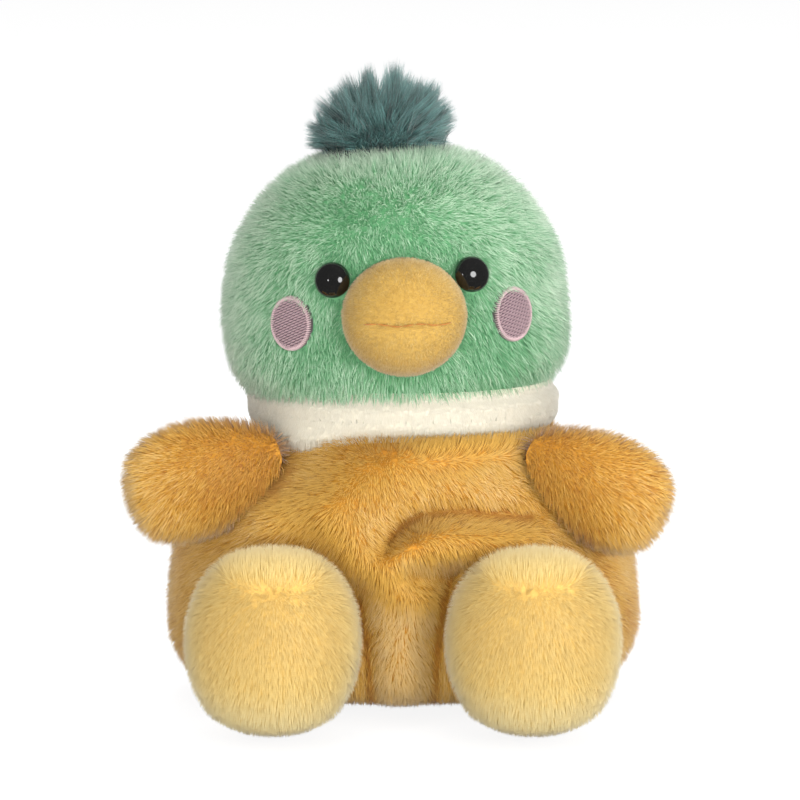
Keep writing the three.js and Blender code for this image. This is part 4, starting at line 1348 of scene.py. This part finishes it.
class PLUSH_OT_tuft(bpy.types.Operator):
    """Makes the tuft of long teal pile on the crown: layers of brush-like locks, each parted into wisps"""

    bl_idname = "plush.tuft"
    bl_label = "Tuft"

    def execute(self, context):
        sizes, colours = context.scene.plush_sizes, context.scene.plush_colours
        rng = np.random.default_rng(71)
        meshes = [self.layer(sizes, rng, *layer) for layer in TUFT_LAYERS]
        add_piece("tuft_locks", joined(meshes), plush_of("teal_plush", colours), "teal_plush", "head",
                  stands_for=("tuft",))
        return {"FINISHED"}

    @staticmethod
    def layer(sizes, rng, back, share, wisps, strands):
        """The strands of one layer. A wisp points at random within its lock's width, shorter at the lock's
        edges, and its strands fan out about it from one spot of the crown. A strand is the curve
        (1 - t) squared root + 2 t (1 - t) bow + t squared tip, at three places."""
        side, aback, shares, spread = np.array(TUFT_LOCKS, float).T[..., None]
        off = rng.uniform(-1, 1, (len(side), wisps))
        tilt = np.radians(side + spread * off).ravel()
        lean = np.radians(back + aback + 7 * rng.normal(size=off.shape)).ravel()
        reach = (share * shares * (1 - 0.2 * off ** 4) * rng.uniform(0.97, 1.02, off.shape)).ravel()
        up = np.cos(tilt) * np.cos(lean) + 0.2 * np.abs(np.sin(lean))
        aim = unit(np.stack((np.sin(tilt) * np.cos(lean), np.sin(lean), up), axis=1))
        # A wisp's tone: painted highlight, paler towards its lock's edges, and painted shade, darker in the
        # layers that lean forward into the tuft's core
        shade = 0.3 + 0.14 * rng.normal(size=tilt.size) + 0.4 * off.ravel() ** 2 + min(0, 0.006 * back)
        start = 0.2 * rng.normal(size=(tilt.size, 2))
        wisp = (aim, shade, reach, start)
        aim, shade, reach, start = (np.repeat(values, strands, axis=0) for values in wisp)

        count = len(reach)
        half_root = np.array((TUFT_ROOT_WIDTH, TUFT_ROOT_DEPTH)) / 2
        flat = (TUFT_SHIFT, 0) + half_root * (start + (0.55, 0.6) * aim[:, :2])
        flat += TUFT_WISP * rng.normal(size=(count, 2))
        level = HEAD_HEIGHT - 0.5 * sizes.skin_depth - (flat ** 2).sum(axis=1) / HEAD_WIDTH
        root = np.column_stack((flat, level))
        length = (sizes.tuft_length * reach * (1 - 0.16 * rng.random(count) ** 2))[:, None]
        centre = (TUFT_SHIFT, 0, HEAD_HEIGHT - sizes.skin_depth)
        tip = centre + length * aim + TUFT_BRUSH * rng.normal(size=(count, 3))
        bow = (root + tip) / 2 - TUFT_BOW * length * DOWN * np.abs(aim[:, :1])
        t = np.linspace(0, 1, 3)[:, None]
        paths = (1 - t) ** 2 * root[:, None] + 2 * t * (1 - t) * bow[:, None] + t ** 2 * tip[:, None]
        # painted glints: a share of the strands pale all along
        tone = shade + 0.13 * rng.normal(size=count) + 0.6 * (rng.random(count) < TUFT_GLINTS)
        facing = unit(aim + 0.5 * rng.normal(size=(count, 3))) @ HEAD.turn.T
        width = np.full(count, TUFT_STRAND)
        return strand_mesh(HEAD.out(paths), facing, width, np.clip(tone, *TONE_LIMITS), rng)


# What is sewn on


class PLUSH_OT_eyes(bpy.types.Operator):
    """Makes the two domed safety eyes and finishes their washers"""

    bl_idname = "plush.eyes"
    bl_label = "Eyes"

    def execute(self, context):
        black = black_plastic_material(context.scene.plush_colours)
        angle = np.linspace(0, math.pi / 2, 16)
        dome = (EYE_RADIUS * np.cos(angle), EYE_RIM + (EYE_DOME - EYE_RIM) * np.sin(angle))
        back = (
            (0, -SHANK_LENGTH), (SHANK_RADIUS - EYE_EDGE, -SHANK_LENGTH),
            (SHANK_RADIUS, EYE_EDGE - SHANK_LENGTH), (SHANK_RADIUS, -EYE_EDGE), (SHANK_RADIUS + EYE_EDGE, 0),
            (EYE_RADIUS - EYE_EDGE, 0), (EYE_RADIUS, EYE_EDGE),
        )
        radius, height = np.concatenate((back, np.stack(dome, axis=1))).T
        rows = ovals(radius, radius, height - EYE_SEAT, 56)
        for (side, _), oval in zip(SIDES, EYES):
            skin = sew(rows @ oval.frame.T + oval.centre)
            add_piece(f"eye_dome_{side}", skin.mesh, black, "black_plastic", "head",
                      stands_for=(f"eye_{side}",))
            washer = frame["nodes"][f"eye_washer_{side}"]
            washer.data.materials.clear()
            washer.data.materials.append(white_plastic_material())
        return {"FINISHED"}


def thread_mesh(paths, radius, sides=6):
    """Closed round threads along paths: a ring of points round each point of the path, square to it, and
    both ends drawn in to a point."""
    ahead = unit(np.gradient(paths, axis=1))
    aside = unit(np.cross(ahead, (0.0, 0.3, 1.0)))
    above = np.cross(ahead, aside)
    turn = circle(sides)[:, None]
    spoke = aside[:, :, None] * np.cos(turn) + above[:, :, None] * np.sin(turn)
    rings = paths[:, :, None] + spoke * radius[..., None, None]
    count, steps = paths.shape[:2]
    points = np.concatenate((rings.reshape(count, -1, 3), paths[:, :1], paths[:, -1:]), axis=1)
    last = steps * sides
    faces = tube_faces(np.arange(last).reshape(steps, sides), last, last + 1)
    return points.reshape(-1, 3), repeated(faces, count, last + 2)


class PLUSH_OT_cheeks(bpy.types.Operator):
    """Makes the two stitched cheeks: a padded oval, dark so that it shows as painted shade between the
    stitches, rows of short stitches and a satin border
    """

    bl_idname = "plush.cheeks"
    bl_label = "Cheeks"

    def execute(self, context):
        colours = context.scene.plush_colours
        pink = thread_material("Pink embroidery thread", colours.pink)
        satin = thread_material("Pale pink embroidery thread", colours.pale_pink)
        shade = thread_material("Mauve underlay thread, dark as painted shade", colours.mauve)
        for (side, _), oval in zip(SIDES, CHEEKS):
            border = thread_mesh(*self.border(oval))
            rows = joined([thread_mesh(*row, sides=5) for row in self.rows(oval)])
            # the underlay is partly real padding and, being dark, partly painted shade between the stitches
            add_piece(f"cheek_shade_underlay_{side}", self.pad(oval).mesh, shade, "pink_thread", "head")
            add_piece(f"cheek_border_{side}", border, satin, "pink_thread", "head")
            add_piece(f"cheek_stitches_{side}", rows, pink, "pink_thread", "head",
                      stands_for=(f"cheek_{side}",))
        return {"FINISHED"}

    @staticmethod
    def pad(oval):
        """A thin oval pad: its top is crowned by one less the square of the share of the way to its edge."""
        share = np.concatenate((np.linspace(0, 1, 8), np.linspace(1, 0, 12)))[:, None]
        top = (np.arange(len(share)) >= 8)[:, None]
        height = np.where(top, PAD_CROWN * (1 - share ** 2), -PAD_THICK) - CHEEK_SUNK
        return sew(oval.on_face(oval.ring(circle(48), share), height))

    @staticmethod
    def rows(oval):
        """Slanted rows of thread side by side, each dipping where a stitch ends: the height follows the
        absolute sine of the place along the stitch to the power of 0.4, and every row starts half a stitch
        further on."""
        ahead = np.array((math.cos(ROW_SLANT), math.sin(ROW_SLANT)))
        beside = np.array((-ahead[1], ahead[0]))
        half = oval.half.max()
        for number, offset in enumerate(np.arange(-half, half, ROW_SPACING)):
            steps = np.linspace(-half, half, 110)
            flat = steps[:, None] * ahead + offset * beside
            within = ((flat / oval.half) ** 2).sum(axis=1) < ROWS_SHARE ** 2
            if within.sum() < 6:
                continue
            dip = np.abs(np.sin(math.pi * (steps[within] / ROW_STITCH + number / 2))) ** 0.4
            height = 0.05 * MM + ROW_RISE * dip - CHEEK_SUNK
            radius = blend_between(*ROW_THREAD, dip)
            yield oval.on_face(flat[within], height)[None], radius[None]

    @staticmethod
    def border(oval):
        """Satin stitches across the edge: each runs from inside the edge over it, as half a wave."""
        share = np.linspace(0, 1, 7)
        wave = np.sin(math.pi * share)
        flat = oval.ring(circle(BORDER_STITCHES)[:, None] + 0.05 * share, 0.85 + 0.17 * share)
        height = BORDER_RISE * np.sqrt(wave) - CHEEK_SUNK
        radius = blend_between(*BORDER_THREAD, wave)
        return oval.on_face(flat, height), np.broadcast_to(radius, flat.shape[:2])


def beak_out(points):
    """Points of the beak's own frame in the row frame. Its middle is sunk into the head."""
    middle = HEAD.turn.T @ (BEAK.centre - HEAD.base - BEAK_SUNK * BEAK.out)
    return HEAD.out(points + middle)


def mouth_share(x):
    """How deep the mouth's thread draws the beak in, from one in the middle to nought at its ends."""
    return np.maximum(0, 1 - (2 * x / MOUTH_WIDTH) ** 2)


def beak_skin(swell, grid):
    """The closed skin of the beak, from its lower pole up: an ellipsoid drawn in along the mouth line by the
    sum of each crease's depth times exp(-(distance / spread) squared). The front is at -Y."""
    around, rings = grid
    rise = np.linspace(-math.pi / 2, math.pi / 2, rings + 1)
    across = np.cos(rise) * (BEAK_WIDTH / 2 + swell)
    deep = np.cos(rise) * (BEAK_SUNK + BEAK_REACH + swell)
    rows = ovals(across, deep, np.sin(rise) * (BEAK_HEIGHT / 2 + swell), around)
    away = rows[..., 2] + MOUTH_DROP
    crease = sum(depth * np.exp(-(away / spread) ** 2) for depth, spread in MOUTH_CREASES)
    rows[..., 1] += (rows[..., 1] < 0) * crease * mouth_share(rows[..., 0])
    return sew(beak_out(rows))


class PLUSH_OT_beak(bpy.types.Operator):
    """Makes the puffed velour beak, its filling and the stitched mouth"""

    bl_idname = "plush.beak"
    bl_label = "Beak"

    def execute(self, context):
        sizes, colours = context.scene.plush_sizes, context.scene.plush_colours
        skin = beak_skin(-BEAK_DEEP, BEAK_GRID)
        add_piece("beak_skin", skin.mesh, backing_of("orange_velour", colours), "orange_velour", "head",
                  padding=0.9, stands_for=("beak_cover",))
        inner = beak_skin(-BEAK_DEEP - FILLING_GAP, BEAK_FILLING_GRID)
        add_filling("beak_filling", inner, "head", padding=0.9, stands_for=("beak_stuffing",))

        def share(middles):
            """Nap only where the beak shows."""
            return ((middles - BEAK.centre) @ BEAK.out > -3 * MM).astype(float)

        def comb(roots, _normals):
            """Brushed down, and away from the mouth line."""
            side = np.sign(BEAK.flat(roots)[:, 1] + MOUTH_DROP)
            return DOWN * 0.8 + side[:, None] * BEAK.up * 0.3

        coat = Coat(sizes, 81, comb, share=share, length=sizes.nap_length, width=0.15 * MM, lean=0.9,
                    undercoat=16, topcoat=0)
        grow_pile("beak_nap", skin, coat, "orange_velour", "head", colours)

        brown = thread_material("Brown sewing thread", colours.brown)
        add_piece("mouth_thread", thread_mesh(*self.mouth()), brown, "brown_thread", "head",
                  stands_for=("mouth_stitch",))
        return {"FINISHED"}

    @staticmethod
    def mouth():
        """Back stitches end to end along the mouth line, which wavers by a fifth of a millimetre: each is a
        low arch over the drawn-in ellipsoid, and its ends dive into the velour."""
        ends = np.linspace(-0.5, 0.5, MOUTH_STITCHES + 1) * MOUTH_WIDTH * MOUTH_SHARE
        share = np.linspace(0, 1, 12)
        arch = np.sin(math.pi * share)
        x = ends[:-1, None] + share * (ends[1:] - ends[:-1])[:, None]
        z = MOUTH_WAVER * np.sin(x / (1.3 * MM)) - 0.02 * x - MOUTH_DROP
        front = np.sqrt(1 - (x / (BEAK_WIDTH / 2)) ** 2 - (MOUTH_DROP / (BEAK_HEIGHT / 2)) ** 2)
        y = sum(depth for depth, _ in MOUTH_CREASES) * mouth_share(x)
        y -= (BEAK_SUNK + BEAK_REACH - 0.5 * MM) * front + MOUTH_ARCH * arch - MOUTH_DIVE
        radius = blend_between(*MOUTH_THREAD, arch)
        return beak_out(np.stack((x, y, z), axis=-1)), np.broadcast_to(radius, x.shape)


# Limbs


class PLUSH_OT_wings(bpy.types.Operator):
    """Makes the two soft wings: pressed skin, fibrefill and tan pile combed towards the tip"""

    bl_idname = "plush.wings"
    bl_label = "Wings"

    def execute(self, context):
        for number, (side, sign) in enumerate(SIDES):
            self.add_wing(context, side, sign, 101 + number)
        return {"FINISHED"}

    @staticmethod
    def add_wing(context, side, sign, seed):
        """One wing, an egg along its own line from inside the shoulder out."""
        name, joint = f"wing_{side}", f"wing_{side}_flap"
        pivot, _, _ = hinge_of(joint)
        level, drop = math.cos(WING_DROOP[side]), math.sin(WING_DROOP[side])
        along = np.array((sign * level * math.cos(WING_FORWARD), -level * math.sin(WING_FORWARD), -drop))
        through = sign * unit(np.cross(along, (0, 0, 1)))
        turn = np.stack((np.cross(through, along), through, along), axis=1)
        full = WING_FULLNESS[side]
        form = egg(WING_SHARES, WING_HEIGHT * full, WING_THICK, WING_LENGTH * full + WING_INSET,
                   turn=turn, base=pivot - WING_INSET * along)

        def comb(_roots, normals):
            """Towards the wing's tip and down."""
            return np.broadcast_to(along + 0.35 * DOWN, normals.shape)

        def outward(roots):
            """From nought at the root to one at the tip."""
            return ease((roots - pivot) @ along, 0, WING_LENGTH)

        def tone(roots):
            """Deeper at the root and paler at the tip."""
            return 0.36 * outward(roots) - 0.25

        def smooth(roots):
            """Smoothest at the root."""
            return 0.85 - 0.7 * outward(roots)

        sizes = context.scene.plush_sizes
        coat = Coat(sizes, seed, comb, share=mostly_front, tone=tone, smooth=smooth)
        make_cover(context, name, form, "tan_plush", coat, 0.8, (f"{name}_cover", f"{name}_stuffing"),
                   grid=LIMB_GRID, joint=joint)


def foot_dress(points, facing, swell):
    """Flattens the foot's underside and draws its front in along the seam: depth times exp(-(height from
    the seam / spread) squared), fading to the sides."""
    shaped = points.copy()
    lowest = SEAT_CUT + FOOT_GAP + max(0, -swell - 2.5 * MM)
    shaped[..., 2] = np.maximum(shaped[..., 2], lowest)
    beside = np.maximum(0, 1 - (points[..., 0] / (FOOT_SEAM_HALF * 1.2)) ** 2)
    height = points[..., 2] - SEAT_CUT - FOOT_SEAM + 0.06 * points[..., 0] ** 2 / FOOT_SEAM_HALF
    crease = FOOT_CREASE * np.exp(-(height / FOOT_CREASE_SPREAD) ** 2) * beside
    shaped[..., 1] += crease * (facing > 0.2)
    shaped[..., 2] -= 0.35 * crease
    return shaped


class PLUSH_OT_feet(bpy.types.Operator):
    """Makes the two ball feet: seamed skin, pellet filling and yellow pile parted at the seam"""

    bl_idname = "plush.feet"
    bl_label = "Feet"

    def execute(self, context):
        for number, (side, sign) in enumerate(SIDES):
            self.add_foot(context, side, sign, 111 + number)
        return {"FINISHED"}

    @staticmethod
    def add_foot(context, side, sign, seed):
        """One foot, an upright egg in front of its root."""
        name, joint = f"foot_{side}", f"foot_{side}_swing"
        pivot, _, _ = hinge_of(joint)
        x, z = sign * FOOT_SPACING / 2, FOOT_HEIGHT / 2 - SEAT_CUT
        y = pivot[1] - math.sqrt(FOOT_OUT ** 2 - (x - pivot[0]) ** 2 - (z - pivot[2]) ** 2)
        centre = np.array((x, y, z))
        form = egg(FOOT_SHARES, FOOT_WIDTH, FOOT_DEPTH, FOOT_HEIGHT, base=(x, y, -SEAT_CUT), dress=foot_dress)

        def above_seam(roots, reach=2.5 * MM):
            """One on the crown and nought below the seam, which climbs towards the back."""
            line = FOOT_SEAM + 0.28 * np.maximum(0, roots[:, 1] - y + FOOT_DEPTH * 0.3)
            return ease(roots[:, 2], line - reach, line + reach)

        def comb(roots, _normals):
            """Down and outwards below the seam, up and back above it."""
            out = unit(roots - centre)
            crown = np.array((0, 0.5, 1.0)) + 0.5 * out
            return blend_between(DOWN + 0.2 * out, crown, above_seam(roots, 0.8 * MM)[:, None])

        def trim(roots):
            """Shorter at the seam and under the foot."""
            front = (roots[:, 1] < y) & (np.abs(roots[:, 0] - x) < FOOT_SEAM_HALF)
            gap = np.abs(roots[:, 2] - FOOT_SEAM)
            return seat_trim(roots) * np.where(front, 0.85 + 0.15 * ease(gap, 0, 1.5 * MM), 1)

        def tone(roots):
            """The crown, the lower front and the outer sides are paler than the patch under the seam: low
            down that is painted light, and on the outer sides painted sheen.
            """
            crown = above_seam(roots)
            under = np.exp(-((roots[:, 2] - FOOT_SEAM + 8 * MM) / (7 * MM)) ** 2) * (roots[:, 1] < y)
            # painted light low down
            low = 0.4 * (1 - ease(roots[:, 2], 4 * MM, 16 * MM))
            # painted sheen on the outer sides
            outer = 0.3 * ease(np.abs(roots[:, 0] - x), 0.3 * FOOT_WIDTH, 0.46 * FOOT_WIDTH)
            return 0.1 * crown + low + outer - 0.15 * under * (1 - crown)

        def share(middles):
            """Thinner at the back."""
            return mostly_front(middles, y)

        sizes = context.scene.plush_sizes
        coat = Coat(sizes, seed, comb, share=share, trim=trim, length=0.85 * sizes.pile_length,
                    width=0.17 * MM, undercoat=11, topcoat=0, tone=tone, mottle=0.6, smooth=everywhere,
                    floor=REST_LEVEL)
        make_cover(context, name, form, "yellow_plush", coat, 0.8, (f"{name}_cover", f"{name}_stuffing"),
                   "pellet_cloth", LIMB_GRID, joint)


class PLUSH_OT_tail(bpy.types.Operator):
    """Makes the stub of a tail at the back"""

    bl_idname = "plush.tail"
    bl_label = "Tail"

    def execute(self, context):
        pivot, _, _ = hinge_of("tail_flick")
        along = np.array((0, math.cos(TAIL_RISE), math.sin(TAIL_RISE)))
        across = unit(np.cross((0, 0, 1), along))
        turn = np.stack((across, np.cross(along, across), along), axis=1)
        form = egg(TAIL_SHARES, TAIL_WIDTH, TAIL_THICK, TAIL_LENGTH + TAIL_INSET,
                   turn=turn, base=pivot - TAIL_INSET * along)

        def comb(_roots, normals):
            """Towards the tail's tip."""
            return np.broadcast_to(along, normals.shape)

        coat = Coat(context.scene.plush_sizes, 121, comb)
        make_cover(context, "tail", form, "tan_plush", coat, 0.8, ("tail_cover", "tail_stuffing"),
                   grid=TAIL_GRID, joint="tail_flick", margin=TAIL_MARGIN)
        return {"FINISHED"}


# Stage


def floor_material():
    """Matt white paper: mostly its own white to the camera, with the toy's shadow on it. In polished plastic
    it shows dark, as a table top in a dim room does."""
    material, tree = new_material("White paper")
    rays = add_node(tree, "ShaderNodeLightPath").outputs
    paper = add_node(tree, "ShaderNodeBsdfDiffuse", {"Color": (*linear(PAPER_SHADE), 1)}).outputs[0]
    glow, dim = (
        add_node(tree, "ShaderNodeEmission", {"Color": (*linear(WHITE), 1), "Strength": strength}).outputs[0]
        for strength in (PAPER_GLOW, ROOM_MIRRORED)
    )
    part = {0: rays["Is Camera Ray"], 1: PAPER_GLOWS}
    part = add_node(tree, "ShaderNodeMath", part, operation="MULTIPLY").outputs[0]
    lit = add_node(tree, "ShaderNodeMixShader", {0: part, 1: paper, 2: glow}).outputs[0]
    surface = add_node(tree, "ShaderNodeMixShader", {0: rays["Is Glossy Ray"], 1: lit, 2: dim}).outputs[0]
    add_node(tree, "ShaderNodeOutputMaterial", {"Surface": surface})
    return material


class PLUSH_OT_stage(bpy.types.Operator):
    """Makes the floor, the soft lamps, the white surroundings and the camera"""

    bl_idname = "plush.stage"
    bl_label = "Stage"

    def execute(self, context):
        reach = 2 * FLOOR_REACH
        disc = sew(ovals(reach, reach, np.repeat((-FLOOR_THICK, 0), 3), 64))
        floor = mesh_object("floor", floor_material(), *disc.mesh)

        scene = context.scene
        scene.world = bpy.data.worlds.new("White room")
        scene.world.use_nodes = True
        tree = scene.world.node_tree
        tree.nodes.clear()
        rays = add_node(tree, "ShaderNodeLightPath").outputs
        white = (*linear(WHITE), 1)
        light, dim, seen = (
            add_node(tree, "ShaderNodeBackground", {"Color": white, "Strength": strength}).outputs[0]
            for strength in (ROOM_LIGHT, ROOM_MIRRORED, 1.0)
        )
        lit = add_node(tree, "ShaderNodeMixShader", {0: rays["Is Glossy Ray"], 1: light, 2: dim}).outputs[0]
        both = add_node(tree, "ShaderNodeMixShader", {0: rays["Is Camera Ray"], 1: lit, 2: seen}).outputs[0]
        add_node(tree, "ShaderNodeOutputWorld", {"Surface": both})

        for lamp in LAMPS:
            self.add_lamp(scene, *lamp)

        camera = bpy.data.cameras.new("camera")
        camera.lens = camera.sensor_width * CAMERA_DISTANCE / VIEW_WIDTH
        camera.clip_start = CAMERA_CLIP
        back = Vector((0, -math.cos(CAMERA_RISE), math.sin(CAMERA_RISE)))
        scene.camera = self.aim_at_toy(scene, camera, VIEW_CENTRE + CAMERA_DISTANCE * back)
        scene.view_settings.view_transform = "Standard"
        return {"FINISHED"}

    @staticmethod
    def aim_at_toy(scene, data, place):
        """Puts a lamp or a camera in place, aimed at the middle of the view."""
        holder = bpy.data.objects.new(data.name, data)
        holder.location = place
        holder.rotation_euler = (Vector(place) - VIEW_CENTRE).to_track_quat("Z", "Y").to_euler()
        scene.collection.objects.link(holder)
        return holder

    @staticmethod
    def add_lamp(scene, name, place, diameter, watts, mirrored):
        """A round soft lamp, left out of reflections where it isn't mirrored."""
        data = bpy.data.lights.new(name, "AREA")
        data.shape = "DISK"
        data.size = diameter
        data.energy = watts
        PLUSH_OT_stage.aim_at_toy(scene, data, place).visible_glossy = mirrored


OPERATORS = (
    PLUSH_OT_stage, PLUSH_OT_body, PLUSH_OT_collar, PLUSH_OT_head, PLUSH_OT_tuft, PLUSH_OT_eyes,
    PLUSH_OT_cheeks, PLUSH_OT_beak, PLUSH_OT_wings, PLUSH_OT_feet, PLUSH_OT_tail,
)


class VIEW3D_PT_plush(bpy.types.Panel):
    """Sidebar panel with the duck's sizes, colours and pieces."""

    bl_idname = "VIEW3D_PT_plush"
    bl_label = "Plush Duck"
    bl_space_type = "VIEW_3D"
    bl_region_type = "UI"
    bl_category = "Plush"

    def draw(self, context):
        for group in (context.scene.plush_sizes, context.scene.plush_colours):
            column = self.layout.column(align=True)
            for key in group.bl_rna.properties.keys():
                if key not in ("rna_type", "name"):
                    column.prop(group, key)
        for operator in OPERATORS:
            self.layout.operator(operator.bl_idname)


CLASSES = (PlushSizes, PlushColours, *OPERATORS, VIEW3D_PT_plush)


def register():
    """Registers the classes and hangs the settings on the scene."""
    for item in CLASSES:
        bpy.utils.register_class(item)
    bpy.types.Scene.plush_sizes = PointerProperty(type=PlushSizes)
    bpy.types.Scene.plush_colours = PointerProperty(type=PlushColours)


def unregister():
    """Takes the settings and the classes away again."""
    del bpy.types.Scene.plush_colours
    del bpy.types.Scene.plush_sizes
    for item in reversed(CLASSES):
        bpy.utils.unregister_class(item)


def main():
    """Builds every piece in order."""
    register()
    for operator in OPERATORS:
        group, name = operator.bl_idname.split(".")
        getattr(getattr(bpy.ops, group), name)()


if __name__ == "__main__":
    main()
